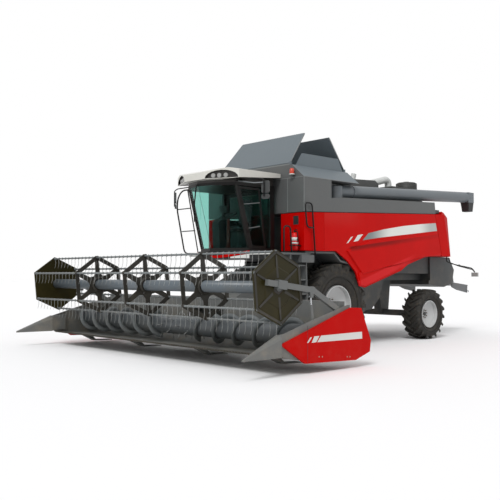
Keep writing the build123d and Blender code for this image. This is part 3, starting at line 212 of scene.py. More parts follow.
black_tube_look = paint("black_tube_look", (11, 12, 13), 0.4, dust=0.04, dust_top=4.0, shine=0.25)
pale_tube_look = paint("pale_tube_look", (120, 126, 128), 0.34, dust=0.12, dust_top=4.0)
skirt_white = paint("skirt_white_look", (222, 224, 220), 0.4, dust=0.1, dust_top=3.0)
print("first paints", black_tube_look.name, pale_tube_look.name, skirt_white.name)

# %% [markdown]
# ## Steel, plastic, rubber and glass
# What isn't painted is told apart by how it is worn: steel has a grain and stains, moulded plastic a pebbled skin,
# a tyre dry earth in patches, and glass a thin film of dust. Each is one function of a few noises.

# %% Steel, plastic, rubber and glass
def bare_metal(name, colour, rough, rust=0.0):
    """Ground or worn steel: a fine grain along one way, stains and a little rust."""
    kit = Kit(name)
    along = kit.node("ShaderNodeMapping", {"Vector": kit.place, "Scale": (3.0, 3.0, 60.0)})
    line = kit.noise(9.0, 6, 0.7, along)
    stain = kit.between(kit.noise(6.0, 5, 0.65), 0.45, 0.75)
    steel = kit.mix(line, tone(*colour, 0.75), tone(*colour, 1.2))
    return kit.finish(
        Base_Color=kit.mix(stain * (0.25 + rust), steel, tone(96, 70, 48)),
        Metallic=0.9 - stain * 0.5, Roughness=rough + line * 0.2 + stain * 0.25,
        Normal=kit.bump(line, 0.0006, 0.4))


def moulded(name, colour, rough, pebble=600.0):
    """Moulded plastic: a pebbled skin and a slightly chalky tone."""
    kit = Kit(name)
    cloud = kit.noise(3.0, 4)
    return kit.finish(
        Base_Color=kit.mix(cloud, tone(*colour, 0.85), tone(*colour, 1.12)),
        Roughness=rough + cloud * 0.15, Normal=kit.bump(kit.noise(pebble, 2), 0.0005, 0.5))


def rubber(name):
    """Tyre rubber: dark, grey with dry earth in patches, and finely grained."""
    kit = Kit(name)
    cloud = kit.noise(4.0, 5, 0.6)
    earth = kit.between(kit.noise(9.0, 6, 0.7), 0.48, 0.7)
    return kit.finish(
        Base_Color=kit.mix(earth * 0.35, kit.mix(cloud, tone(33, 32, 30), tone(50, 48, 44)), tone(88, 78, 62)),
        Roughness=0.62 + cloud * 0.2, Specular_IOR_Level=0.35,
        Normal=kit.bump(kit.noise(180.0, 4) + cloud * 3, 0.0012, 0.6))


def window(name, tint):
    """Tinted safety glass, clear enough to look into the cab."""
    kit = Kit(name)
    film = kit.between(kit.noise(2.2, 5, 0.6), 0.45, 0.8)
    return kit.finish(Base_Color=kit.mix(film * 0.12, tone(*tint), tone(200, 214, 205)), Roughness=film * 0.06,
                      Transmission_Weight=1.0, IOR=1.12)


tyre_look = rubber("tyre_rubber_look")
print("tyre finish", tyre_look.name)

# %% [markdown]
# ## A finish for every slot
# The record names a slot for each kind of surface. Most are plain paints or plastics that differ in tone, gloss
# and dust, so a table lists them; the few with more to say are written out. A CAD part then takes the finish that
# bears its material's name, or the one that the record lists for it.

# %% The finishes and where they go
PAINTS = {  # tone, gloss, dust and the height up to which it lies
    "rim_silver": ((186, 188, 188), 0.4, 0.3, 1.4), "chassis_dark": ((56, 60, 62), 0.5, 0.45, 2.4),
    "engine_iron": ((70, 70, 68), 0.6, 0.3, 1.6), "deck_dark": ((60, 62, 62), 0.5, 0.35, 5.0),
    "duct_white": ((196, 198, 196), 0.4, 0.25, 1.6), "tank_grey": ((86, 88, 88), 0.5, 0.12, 4.0),
    "lid_blue_grey": ((92, 102, 108), 0.42, 0.12, 4.0), "board_grey": ((92, 96, 100), 0.45, 0.4, 2.5),
    "pipe_grey": ((94, 101, 106), 0.4, 0.2, 5.0), "platform_grey": ((80, 84, 86), 0.5, 0.3, 3.0),
    "header_grey": ((96, 99, 99), 0.48, 0.6, 1.6), "auger_steel": ((92, 98, 101), 0.4, 0.35, 1.2),
    "reel_grey": ((62, 62, 56), 0.5, 0.5, 2.2)}
PLASTICS = {  # tone, roughness and how fine the pebbles are
    "spout_black": ((34, 35, 36), 0.5, 600.0), "seat_fabric": ((40, 42, 44), 0.85, 240.0),
    "inner_plastic": ((46, 48, 50), 0.6, 600.0), "lamp_clear": ((150, 150, 148), 0.2, 90.0),
    "beacon_orange": ((196, 60, 34), 0.25, 60.0)}
finishes = {
    "tyre_rubber": tyre_look,
    "red_paint": paint("red_paint_look", (186, 2, 0), 0.42, dust=0.05, dust_top=1.2, drift=0.10, shine=0.06),
    "cab_black": paint("cab_black_look", (15, 13, 12), 0.4, dust=0.04, dust_top=3.6, shine=0.25),
    "roof_cream": paint("roof_cream_look", (206, 205, 198), 0.36, dust=0.15, dust_top=5.0, coat=0.2),
    "cab_window": window("cab_window_look", (186, 226, 219)),
    "bare_steel": bare_metal("bare_steel_look", (120, 120, 116), 0.4, rust=0.15),
    "ram_chrome": bare_metal("ram_chrome_look", (205, 207, 210), 0.12)}
for key, (colour, gloss, dust, dust_top) in PAINTS.items():
    finishes[key] = paint(f"{key}_look", colour, gloss, dust, dust_top)
for key, (colour, rough, pebble) in PLASTICS.items():
    finishes[key] = moulded(f"{key}_look", colour, rough, pebble)

slot_of = {node: entry["slot"] for entry in frame["record"]["materials"] for node in entry.get("nodes", [])}
for node_name, node in frame["nodes"].items():
    slots = [m.name.split(".")[0] for m in node.data.materials if m] or ["?"]
    for place, slot in enumerate(slots):
        key = slot if slot in finishes else slot_of.get(node_name)
        if key:
            node.data.materials[place] = finishes[key]
        else:
            print("no finish for", node_name, slots)

# %% [markdown]
# ## Two ways to repeat a shape
# A harvester is full of rows and rings: tines on a bar, lugs on a tyre, nuts round a hub. Copying them by hand
# would work, but then every change is made a hundred times. Two small Geometry Nodes trees do it instead: one
# sets a piece in a row, the other turns it round an axle. Both end in real faces with their material.

# %% Geometry Nodes helper
class Tree:
    """A Geometry Nodes tree with named inputs, of which one is its Finish."""

    def __init__(self, name, **inputs):
        self.group = bpy.data.node_groups.new(name, "GeometryNodeTree")
        face = self.group.interface
        face.new_socket("Geometry", in_out="INPUT", socket_type="NodeSocketGeometry")
        face.new_socket("Geometry", in_out="OUTPUT", socket_type="NodeSocketGeometry")
        for key, kind in inputs.items():
            face.new_socket(key, in_out="INPUT", socket_type="NodeSocket" + kind)
        self.given = self.group.nodes.new("NodeGroupInput").outputs
        self.result = self.group.nodes.new("NodeGroupOutput").inputs[0]

    def node(self, kind, values=None, out=0, **settings):
        return new_node(self.group, kind, values, out, **settings)

    def sum(self, operation, a, b):
        return self.node("ShaderNodeMath", {0: a, 1: b}, operation=operation)

    def end(self, geometry):
        """Real faces with the given finish, as the tree's result."""
        real = self.node("GeometryNodeRealizeInstances", {0: geometry})
        painted = self.node("GeometryNodeSetMaterial", {"Geometry": real, "Material": self.given["Finish"]})
        self.group.links.new(painted, self.result)
        return self

    def grow(self, name, **values):
        """A plain mesh grown by the tree with these inputs."""
        seed = bpy.data.objects.new(name + "_seed", bpy.data.meshes.new(name + "_seed"))
        bpy.context.scene.collection.objects.link(seed)
        modifier = seed.modifiers.new("grow", "NODES")
        modifier.node_group = self.group
        for item in self.group.interface.items_tree:
            if item.in_out == "INPUT" and item.name in values:
                modifier[item.identifier] = values[item.name]
        bpy.context.view_layer.update()
        grown = seed.evaluated_get(bpy.context.evaluated_depsgraph_get())
        mesh = bpy.data.meshes.new_from_object(grown)
        mesh.name = name
        bpy.data.objects.remove(seed)
        return mesh


def row_tree():
    tree = Tree("set_in_a_row", Piece="Object", Count="Int", First="Vector", Step="Vector", Finish="Material")
    given = tree.given
    line = tree.node("GeometryNodeMeshLine", {"Count": given["Count"], "Start Location": given["First"],
                                              "Offset": given["Step"]}, mode="OFFSET")
    piece = tree.node("GeometryNodeObjectInfo", {"Object": given["Piece"]}, "Geometry")
    return tree.end(tree.node("GeometryNodeInstanceOnPoints", {"Points": line, "Instance": piece}))


def ring_tree():
    tree = Tree("turn_round_an_axle", Piece="Object", Count="Int", Start="Float", Centre="Vector", Finish="Material")
    given = tree.given
    spots = tree.node("GeometryNodePoints", {"Count": given["Count"], "Position": given["Centre"]})
    share = tree.sum("DIVIDE", math.tau, given["Count"])
    steps = tree.sum("MULTIPLY", tree.node("GeometryNodeInputIndex"), share)
    turn = tree.node("ShaderNodeCombineXYZ", {"X": tree.sum("ADD", steps, given["Start"])})
    piece = tree.node("GeometryNodeObjectInfo", {"Object": given["Piece"]}, "Geometry")
    return tree.end(tree.node("GeometryNodeInstanceOnPoints", {"Points": spots, "Instance": piece, "Rotation": turn}))


in_a_row, round_axle = row_tree(), ring_tree()


def hidden(mesh):
    """A source shape for a tree: an object that isn't in the scene."""
    return bpy.data.objects.new(mesh.name + "_source", mesh)


def row(name, piece, count, first, step, finish):
    return in_a_row.grow(name, Piece=piece, Count=count, First=first, Step=step, Finish=finish)


def ring(name, piece, count, start, centre, finish):
    return round_axle.grow(name, Piece=piece, Count=count, Start=start, Centre=centre, Finish=finish)


print("trees", in_a_row.group.name, round_axle.group.name)

# %% [markdown]
# ## Simple solids
# Bars, plates, tubes and turned parts make up most of the frame. Each could be a primitive with modifiers, but a
# few functions on plain lists of points keep every shape closed, outward facing and exactly where it belongs.

# %% Places and outlines
def at(x, behind, z):
    """A point by its distance behind the front axle."""
    return Vector((x, AXLE_Y + behind, z))


def aft(outline):
    """An outline of (distance behind the axle, height) as (Y, Z)."""
    return [(AXLE_Y + y, z) for y, z in outline]


def rect(a, b, far_a, far_b):
    """The outline of a rectangle between two opposite corners."""
    return [(a, b), (far_a, b), (far_a, far_b), (a, far_b)]


def mirrored(side, places):
    """Places for side 1, or the same on the other side of the machine for side -1."""
    return [(side * x, behind, z) for x, behind, z in places]


def circle(radius, count, height=0.0, start=0.0):
    """Points of a level circle round the origin."""
    turns = [start + math.tau * k / count for k in range(count)]
    return [Vector((radius * math.cos(a), radius * math.sin(a), height)) for a in turns]


print("places ready, the rear axle is at", [round(v, 3) for v in at(0, 3.546, 0.637)])

# %% Solids from points
def tidy_mesh(mesh):
    """Merged corners, and faces that point outwards."""
    work = bmesh.new()
    work.from_mesh(mesh)
    bmesh.ops.remove_doubles(work, verts=work.verts, dist=1e-6)
    bmesh.ops.recalc_face_normals(work, faces=work.faces)
    work.to_mesh(mesh)
    work.free()


def skin(name, rings, finish, closed=False, smooth=False):
    """A solid over rings of points; closed joins the last ring to the first, else the two are capped."""
    count = len(rings[0])
    points = [tuple(p) for spots in rings for p in spots]
    faces = []
    for r in range(len(rings) if closed else len(rings) - 1):
        a, b = r * count, ((r + 1) % len(rings)) * count
        for k in range(count):
            n = (k + 1) % count
            faces.append((a + k, a + n, b + n, b + k))
    if not closed:
        faces += [tuple(range(count)), tuple(reversed(range(len(points) - count, len(points))))]
    mesh = bpy.data.meshes.new(name)
    mesh.from_pydata(points, [], faces)
    tidy_mesh(mesh)
    mesh.materials.append(finish)
    if smooth:
        mesh.shade_smooth()
    return mesh


def tube(name, path, radius, finish, sides=10, closed=False):
    """A round bar along a path of points; radius may be a list, one for each point."""
    radii = radius if isinstance(radius, (list, tuple)) else [radius] * len(path)
    rings, side = [], None
    for k, here in enumerate(path):
        before = path[k - 1] if k or closed else here
        after = path[(k + 1) % len(path)] if k + 1 < len(path) or closed else here
        ahead = ((after - here).normalized() + (here - before).normalized()).normalized()
        side = side or ahead.orthogonal()
        side = (side - ahead * side.dot(ahead)).normalized()
        up = ahead.cross(side)
        bend = 1.0
        if 0 < k < len(path) - 1 or closed:
            bend = 1 / max(0.6, (after - here).normalized().dot(ahead))
        turns = [math.tau * n / sides for n in range(sides)]
        rings.append([here + (side * math.cos(a) * bend + up * math.sin(a)) * radii[k] for a in turns])
    return skin(name, rings, finish, closed, smooth=True)


def crossbar(name, spot, x_from, x_to, radius, finish, sides):
    """A round bar across the machine, through a spot on its axle."""
    return tube(name, [spot + Vector((x_from, 0, 0)), spot + Vector((x_to, 0, 0))], radius, finish, sides)


def upright(name, foot, heights, radius, finish, sides=24):
    """A round part standing on a place, with a ring of points at each height above it."""
    return tube(name, [foot + Vector((0, 0, z)) for z in heights], radius, finish, sides)


def plate(name, outline, low, high, finish, across="X"):
    """A flat plate: an outline of (Y, Z) between two X, or of (X, Z) between two Y, or of (X, Y) between two Z."""
    spot = {"X": lambda a, b, c: (c, a, b), "Y": lambda a, b, c: (a, c, b), "Z": lambda a, b, c: (a, b, c)}[across]
    return skin(name, [[spot(a, b, level) for a, b in outline] for level in (low, high)], finish)


def flank_plate(name, outline, side, near, far, finish):
    """A plate across one side, between two distances from the middle; its outline is given as for aft()."""
    low, high = sorted((side * near, side * far))
    return plate(name, aft(outline), low, high, finish)


def turned(name, profile, centre, finish, sides):
    """A part turned about a crosswise axle: profile is (X, radius) from one end to the other, closed."""
    rings = []
    for k in range(sides):
        a = math.tau * k / sides
        rings.append([(centre[0] + x, centre[1] + r * math.sin(a), centre[2] + r * math.cos(a)) for x, r in profile])
    return skin(name, rings, finish, closed=True, smooth=True)


print("solids ready")

# %% [markdown]
# ## From meshes to pieces
# A piece of the visual model is one object. It rides on a body of the imported model, so that it moves with it, and
# it may stand for a CAD part. Parts that move together are joined into one piece with one slot for each finish.

# %% Pieces
def join(name, meshes):
    """One mesh from several, with one slot for each finish that they have."""
    work = bmesh.new()
    looks = []
    for mesh in meshes:
        looks += [look for look in mesh.materials if look not in looks]
        start = len(work.faces)
        work.from_mesh(mesh)
        work.faces.ensure_lookup_table()
        for face in work.faces[start:]:
            face.material_index = looks.index(mesh.materials[face.material_index])
    joined = bpy.data.meshes.new(name)
    work.to_mesh(joined)
    work.free()
    for look in looks:
        joined.materials.append(look)
    return joined


def show(name, mesh):
    piece = bpy.data.objects.new(name, mesh)
    bpy.context.scene.collection.objects.link(piece)
    return piece


def worn(piece, body, slot_name, *replaced):
    """Rides on its body and stands for the CAD nodes named; slot_name is not used."""
    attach(piece, body)
    if replaced:
        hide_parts(*replaced)
    return piece


def dress(name, parts, body, slot_name, *replaced):
    """One piece joined from its parts, shown and worn."""
    return worn(show(name, join(name, parts)), body, slot_name, *replaced)


def soften(piece, width, segments=2, angle=35):
    """Small rounded edges, so that light catches them."""
    bevel = piece.modifiers.new("edges", "BEVEL")
    bevel.width, bevel.segments, bevel.limit_method = width, segments, "ANGLE"
    bevel.angle_limit = math.radians(angle)
    return piece


def merged_copy(name, node):
    """A CAD part's faces again, merged at their corners, with flat neighbours joined."""
    mesh = frame["nodes"][node].data.copy()
    mesh.name = name
    work = bmesh.new()
    work.from_mesh(mesh)
    bmesh.ops.remove_doubles(work, verts=work.verts, dist=1e-5)
    bmesh.ops.recalc_face_normals(work, faces=work.faces)
    bmesh.ops.dissolve_limit(work, angle_limit=math.radians(1), verts=work.verts, edges=work.edges)
    work.to_mesh(mesh)
    work.free()
    mesh.materials.clear()
    return show(name, mesh)


def two_tones(name, node, first, second, is_second):
    """A CAD part again in two finishes: the second is on the faces of which is_second is true."""
    piece = merged_copy(name, node)
    piece.data.materials.append(first)
    piece.data.materials.append(second)
    chosen = [face for face in piece.data.polygons if is_second(face)]
    for face in chosen:
        face.material_index = 1
    print(name, "has", len(piece.data.polygons), "faces,", len(chosen), "in", second.name)
    return piece


def triangles(*pieces):
    return sum(len(face.vertices) - 2 for piece in pieces for face in piece.data.polygons)


print("pieces ready")

# %% [markdown]
# ## The reel
# The reel lays the crop over the knife: a long tube, three six-armed spiders with flat rims, six bars with spring
# tines, and a shield at each end. The tines are thin bent wire, the part most seen from in front, so they are
# modelled one by one as one short wire and set along each bar by the row tree.

# %% Reel places and finishes
REEL = Vector((0, AXLE_Y - 4.152, 1.432))
BAR_R, TUBE_R, WEB_R = 0.585, 0.105, 0.285
SHIELD_X, STUB_X, SPIDER_X = 3.69, 3.713, 3.69 * 0.49
bar_turns = [math.radians(90 + 5.7 + 60 * k) for k in range(6)]
bar_spots = [REEL + Vector((0, BAR_R * math.cos(a), BAR_R * math.sin(a))) for a in bar_turns]
next_spots = bar_spots[1:] + bar_spots[:1]
wire_look = bare_metal("tine_wire_look", (158, 160, 158), 0.35, rust=0.05)
spider_look = paint("spider_black_look", (24, 22, 16), 0.45, dust=0.2, dust_top=2.6)
shield_look = paint("shield_olive_look", (38, 34, 8), 0.42, dust=0.16, dust_top=2.2, dust_tone=(96, 84, 40), shine=0.2)
tube_look = paint("reel_tube_look", (88, 98, 106), 0.3, dust=0.6, dust_top=1.9, dust_tone=(112, 98, 66))
bar_look = paint("tine_bar_look", (108, 114, 116), 0.4, dust=0.3, dust_top=2.2)
print("reel bars at", [round(math.degrees(a), 1) for a in bar_turns])

# %% Spring tines
TINES, TINE_STEP, TINE_LENGTH, COIL_R, WIRE_R = 49, 0.15, 0.225, 0.026, 0.0045


def spring_tine():
    """One bent wire with a turn of coil round its bar, hanging down from the origin."""
    coil = [Vector((-0.012 + 0.008 * k / 6, COIL_R * math.sin(k * 1.05), COIL_R * math.cos(k * 1.05)))
            for k in range(7)]
    drop = []
    for k in range(1, 7):
        bow = 0.018 * math.sin(math.pi * k / 6.5) - 0.00048 * k * k
        drop.append(Vector((0, bow - COIL_R, -TINE_LENGTH * k / 6)))
    return tube("spring_tine", coil + drop, [WIRE_R] * 9 + [0.0042, 0.004, 0.0036, 0.003], wire_look, 5)


tine = hidden(spring_tine())
tine_rows = [row("tines", tine, TINES, (-TINE_STEP * (TINES - 1) / 2, spot.y, spot.z), (TINE_STEP, 0, 0), wire_look)
             for spot in bar_spots]
tines = dress("reel_tines", tine_rows, "reel_turning", "bare_steel", "reel")
tines.data.shade_smooth()
print("tine triangles", triangles(tines))

# %% Spiders, shields and bars
def beam(name, start, end, wide_start, wide_end, x, thick):
    """A flat tapered bar that turns with the reel, in a plane across its axle."""
    run = (end - start).normalized()
    side = Vector((0, -run.z, run.y))
    foot, tip = side * wide_start / 2, side * wide_end / 2
    corners = [start + foot, end + tip, end - tip, start - foot]
    return plate(name, [(c.y, c.z) for c in corners], x - thick / 2, x + thick / 2, spider_look)


def spider(x):
    """Six tapered arms with webs between them, the flat hexagon rim, the clamps and the hub of one spider."""
    made = []
    for spot, after in zip(bar_spots, next_spots):
        outward = (spot - REEL).normalized()
        inner, next_inner = REEL + outward * WEB_R, REEL + (after - REEL).normalized() * WEB_R
        halfway = (inner + next_inner) / 2
        middle = halfway - (halfway - REEL).normalized() * 0.065
        made += [beam("arm", REEL + outward * (TUBE_R - 0.01), spot + outward * 0.02, 0.12, 0.085, x, 0.012),
                 beam("rim", spot, after, 0.088, 0.088, x + 0.014, 0.012),
                 beam("web", inner, middle, 0.055, 0.06, x, 0.01),
                 beam("web", middle, next_inner, 0.06, 0.055, x, 0.01),
                 crossbar("clamp", spot, x - 0.03, x + 0.03, 0.036, spider_look, 12)]
    hub = [(-0.03, TUBE_R - 0.002), (-0.03, TUBE_R + 0.055), (0.03, TUBE_R + 0.055), (0.03, TUBE_R - 0.002)]
    return made + [turned("hub", hub, (x, REEL.y, REEL.z), spider_look, 36)]


def end_shield(side):
    """A pressed hexagon: folded rim, a raised inner field with ribs, and the corner bolts."""
    out = side * SHIELD_X
    pressing = ((1.02, 0.03), (1.07, 0.028), (1.07, 0.002), (0.96, 0.0), (0.94, 0.012), (0.62, 0.012), (0.58, 0.002),
                (0.2, 0.002), (0.2, 0.016), (0.6, 0.018), (0.95, 0.024))
    rings = [[REEL + (spot - REEL) * share + Vector((out - side * depth, 0, 0)) for spot in bar_spots]
             for share, depth in pressing]
    made = [skin("shield", rings, shield_look, closed=True)]
    for spot, after in zip(bar_spots, next_spots):
        outward = (spot - REEL).normalized()
        made += [beam("rib", REEL + outward * 0.16, spot - outward * 0.06, 0.05, 0.03, out - side * 0.006, 0.012),
                 beam("rim", spot, after, 0.04, 0.04, out - side * 0.002, 0.008),
                 crossbar("bolt", spot, out - side * 0.03, out, 0.03, bar_look, 8)]
    boss = [(-0.02, 0.0), (-0.02, 0.16), (0.0, 0.16), (0.0, 0.0)]
    return made + [turned("boss", boss, (out - side * 0.004, REEL.y, REEL.z), spider_look, 24)]


reel_parts = [crossbar("tube", REEL, 0.03 - SHIELD_X, SHIELD_X - 0.03, TUBE_R, tube_look, 40)]
reel_parts += [crossbar("bar", spot, 0.01 - SHIELD_X, SHIELD_X - 0.01, 0.019, bar_look, 12) for spot in bar_spots]
for x in (-SPIDER_X, 0.0, SPIDER_X):
    reel_parts += spider(x)
for side in (1, -1):
    reel_parts += end_shield(side)
    reel_parts.append(crossbar("stub", REEL, side * (SHIELD_X - 0.02), side * STUB_X, 0.03, bar_look, 16))
reel_frame = dress("reel_frame", reel_parts, "reel_turning", "reel_grey", "reel")
print("reel frame triangles", triangles(reel_frame))

# %% [markdown]
# ## The cross auger
# Two flights of opposite hand carry the crop to the middle, where fingers push it into the feeder house. A flight
# is a rule made visible, a strip that climbs as it turns, so a tree makes it: a spiral with a flat section swept
# along it. The fingers stand in a spiral of their own.

# %% Auger tube, flights and fingers
AUGER = Vector((0, AXLE_Y - 3.28, 0.6))
AUGER_R, AUGER_X, AUGER_AXLE_X = 0.19, 3.67, 3.78
FLIGHT_START, FLIGHT_LENGTH, FLIGHT_PITCH, FLIGHT_R = 0.64, 3.02, 0.56, 0.3
FINGERS, FINGER_STEP = 24, 0.05
flight_look = paint("flight_steel_look", (112, 118, 120), 0.32, dust=0.3, dust_top=1.0)
auger_tube_look = paint("auger_tube_look", (86, 92, 96), 0.38, dust=0.3, dust_top=1.0)


def flight_tree():
    tree = Tree("flight_along_a_tube", Pitch="Float", Length="Float", Inner="Float", Outer="Float", Thick="Float",
                Finish="Material")
    given = tree.given
    middle = tree.sum("MULTIPLY", tree.sum("ADD", given["Inner"], given["Outer"]), 0.5)
    line = tree.node("GeometryNodeCurveSpiral", {
        "Resolution": 28, "Rotations": tree.sum("DIVIDE", given["Length"], given["Pitch"]),
        "Start Radius": middle, "End Radius": middle, "Height": given["Length"]})
    standing = tree.node("GeometryNodeSetCurveNormal", {0: line}, mode="Z_UP")
    section = tree.node("GeometryNodeCurvePrimitiveQuadrilateral", {
        "Width": tree.sum("SUBTRACT", given["Outer"], given["Inner"]), "Height": given["Thick"]})
    return tree.end(tree.node("GeometryNodeCurveToMesh", {
        "Curve": standing, "Profile Curve": section, "Fill Caps": True}))


along_tube = flight_tree()


def flight(hand):
    """A flight from beside the middle outwards, to the left with hand 1 and mirrored with hand -1."""
    mesh = along_tube.grow("flight", Pitch=FLIGHT_PITCH, Length=FLIGHT_LENGTH, Inner=AUGER_R - 0.005, Outer=FLIGHT_R,
                           Thick=0.006, Finish=flight_look)
    lie_down = Matrix(((0, 0, hand), (0, 1, 0), (-1, 0, 0))).to_4x4()
    mesh.transform(Matrix.Translation(AUGER + Vector((hand * FLIGHT_START, 0, 0))) @ lie_down)
    tidy_mesh(mesh)
    return mesh


auger_profile = [(-AUGER_X, 0.0), (-AUGER_X, AUGER_R), (AUGER_X, AUGER_R), (AUGER_X, 0.0)]
auger_parts = [flight(1), flight(-1), turned("auger_tube", auger_profile, AUGER, auger_tube_look, 56),
               crossbar("auger_axle", AUGER, -AUGER_AXLE_X, AUGER_AXLE_X, 0.04, bar_look, 16)]
for k in range(FINGERS):
    foot = AUGER + Vector(((k - (FINGERS - 1) / 2) * FINGER_STEP, 0, 0))
    a = math.tau * k * 5 / 12
    out = Vector((0, -math.sin(a), math.cos(a)))
    auger_parts.append(tube("finger", [foot + out * 0.17, foot + out * FLIGHT_R], 0.007, wire_look, 8))
    auger_parts.append(tube("guide", [foot + out * 0.183, foot + out * 0.197], 0.024, flight_look, 10))
cross_auger = dress("cross_auger", auger_parts, "header_auger_turning", "auger_steel", "header_auger")
print("auger triangles", triangles(cross_auger))

# %% [markdown]
# ## The knife
# A cutterbar is a row of forged guards, 76 mm apart, with triangular blades that slide through them. The guards
# are bolted to a bar; the row tree sets one forged point nearly a hundred times.

# %% Knife guards and blades
KNIFE_Y, KNIFE_Z, GUARDS, GUARD_STEP, FIRST_GUARD_X = AXLE_Y - 4.119, 0.314, 96, 0.0762, -3.62
guard_look = bare_metal("guard_steel_look", (92, 90, 84), 0.42, rust=0.25)
blade_look = bare_metal("blade_steel_look", (150, 150, 146), 0.28, rust=0.1)
guard_section = ((-1, -1), (1, -1), (1, 0.4), (0.4, 1), (-0.4, 1), (-1, 0.4))
guard_shape = ((0.0, 0.026, 0.020, 0.0), (-0.03, 0.024, 0.024, 0.0), (-0.06, 0.018, 0.022, 0.001),
               (-0.09, 0.012, 0.014, 0.003), (-0.113, 0.006, 0.007, 0.004))


def guard():
    """A forged point: six-sided, wide at its foot and slimmer to a blunt nose."""
    rings = [[(a * wide / 2, y - 0.004, z + b * high / 2) for a, b in guard_section]
             for y, wide, high, z in guard_shape]
    return skin("guard", rings, guard_look)


def blade():
    """A flat triangular knife section."""
    outline = [(-0.036, 0.0), (0.036, 0.0), (0.010, -0.07), (-0.010, -0.07)]
    return plate("blade", outline, -0.0015, 0.0015, blade_look, "Z")


guards = row("knife_guards", hidden(guard()), GUARDS, (FIRST_GUARD_X, KNIFE_Y - 0.001, KNIFE_Z), (GUARD_STEP, 0, 0),
             guard_look)
first_blade = (FIRST_GUARD_X + GUARD_STEP / 2, KNIFE_Y - 0.004, KNIFE_Z + 0.004)
blades = row("knife_blades", hidden(blade()), GUARDS - 1, first_blade, (GUARD_STEP, 0, 0), blade_look)
bar_section = ((-0.06, -0.02), (-0.002, -0.02), (-0.002, 0.012), (-0.05, 0.012))
bar = plate("knife_bar", [(KNIFE_Y + y, KNIFE_Z + z) for y, z in bar_section], -3.685, 3.685, guard_look)
knife = dress("knife", [guards, blades, bar], "header", "bare_steel", "cutterbar")
print("knife triangles", triangles(knife))

# %% [markdown]
# ## Field tyres
# A drive tyre is a smooth carcass with deep slanted lugs in two rows that pass each other at the middle. The
# carcass is turned from its section. One lug is lofted along the crown from the middle to the shoulder, and the
# ring tree turns it round the axle, once for each side.

# %% Tyres
LUG_SWEEP, LUG_STEPS, PAST_MIDDLE = 0.34, 6, 0.02
TYRES = {  # X of the middle, distance behind the front axle, radius, width, rim radius, lug height and width, lugs
    "front": (1.2, 0.0, 0.945, 0.64, 0.455, 0.055, 0.058, 20),
    "rear": (1.325, 3.546, 0.637, 0.49, 0.345, 0.045, 0.045, 18)}


def carcass_profile(half, rim, crown):
    """The section of a tyre from one bead round the tread to the other and over the rim, as (X, radius)."""
    wall = crown - rim
    outer = [(0.60, rim + 0.004), (0.72, rim + 0.02), (0.90, rim + wall * 0.30), (0.99, rim + wall * 0.58),
             (0.97, rim + wall * 0.80), (0.90, crown - 0.028), (0.78, crown - 0.008), (0.4, crown - 0.001),
             (0.0, crown)]
    left = [(x * half * 0.985, r) for x, r in outer]
    return left + [(-x, r) for x, r in left[-2::-1]] + [(0.0, rim + 0.03)]


def lug(radius, half, crown, lug_w, hand):
    """One slanted bar from just past the middle to the shoulder and down it, on the side that hand names."""
    def section(x, back, steps):
        """One ring: up the front flank and down the rear one, by (radius, width) from the foot to the top."""
        front = [(r, back - w / 2 / radius) for r, w in steps]
        rear = [(r, back + w / 2 / radius) for r, w in reversed(steps)]
        return [(hand * x, r * math.sin(a), r * math.cos(a)) for r, a in front + rear]
    rings = []
    for k in range(LUG_STEPS + 1):
        t = k / LUG_STEPS
        top = radius - (radius - crown) * (0.06 * t + 0.85 * max(0, t - 0.8) ** 2 * 4)
        foot = crown - 0.035 - 0.04 * max(0, t - 0.7)
        wide = lug_w * (1.0 + 0.35 * t)
        rings.append(section((half * 0.97 + PAST_MIDDLE) * t - PAST_MIDDLE, LUG_SWEEP * t ** 1.25,
                             [(foot, wide * 1.35), (top - 0.006, wide), (top, wide * 0.86)]))
    rings.append(section(half * 0.985, LUG_SWEEP, [(crown - 0.10, lug_w * 1.5), (crown - 0.10, lug_w * 1.4),
                                                   (crown - 0.105, lug_w * 1.2)]))
    return skin("lug", rings, tyre_look)


def field_tyre(end, side_name, side):
    """A tyre at the front or rear end, with lugs in two rows and two raised rings on each wall."""
    x, behind, radius, width, rim, lug_h, lug_w, lugs = TYRES[end]
    half, crown = width / 2, radius - lug_h
    centre = at(side * x, behind, radius)
    made = [turned("carcass", carcass_profile(half, rim, crown), centre, tyre_look, 72)]
    for hand in (1, -1):
        start = 0.0 if hand > 0 else math.pi / lugs
        made.append(ring("lugs", hidden(lug(radius, half, crown, lug_w, hand)), lugs, start, centre, tyre_look))
        for share in (0.42, 0.66):
            r = rim + (crown - rim) * share
            ridge = [(hand * half * 0.92, r - 0.006), (hand * half * 0.995, r), (hand * half * 0.92, r + 0.006)]
            made.append(turned("bead", ridge, centre, tyre_look, 72))
    tyre = dress(f"{end}_field_tyre_{side_name}", made, f"{end}_wheel_{side_name}_turning", "tyre_rubber",
                 f"{end}_tyre_{side_name}")
    print(tyre.name, "triangles", triangles(tyre))


for side_name, side in SIDES:
    for end in TYRES:
        field_tyre(end, side_name, side)

# %% [markdown]
# ## The cab's roof
# The roof is a moulded cream cap over a black band, with an arched, dark lamp bay at each front corner. It could be
# modelled again from nothing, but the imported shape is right: a merged copy of it takes two finishes, chosen face
# by face from where each face lies, and its edges are rounded as a moulding's are.

# %% Roof in two finishes
ROOF_NOSE, ROOF_CORNER = Vector((0.325, -2.96)), Vector((1.03, -2.60))
UNDER_FRONT, UNDER_REAR = Vector((-3.0, 3.600)), Vector((-1.2, 3.755))
BAY_HALF, BAY_LOW, BAY_HIGH = 0.39, 3.62, 3.81


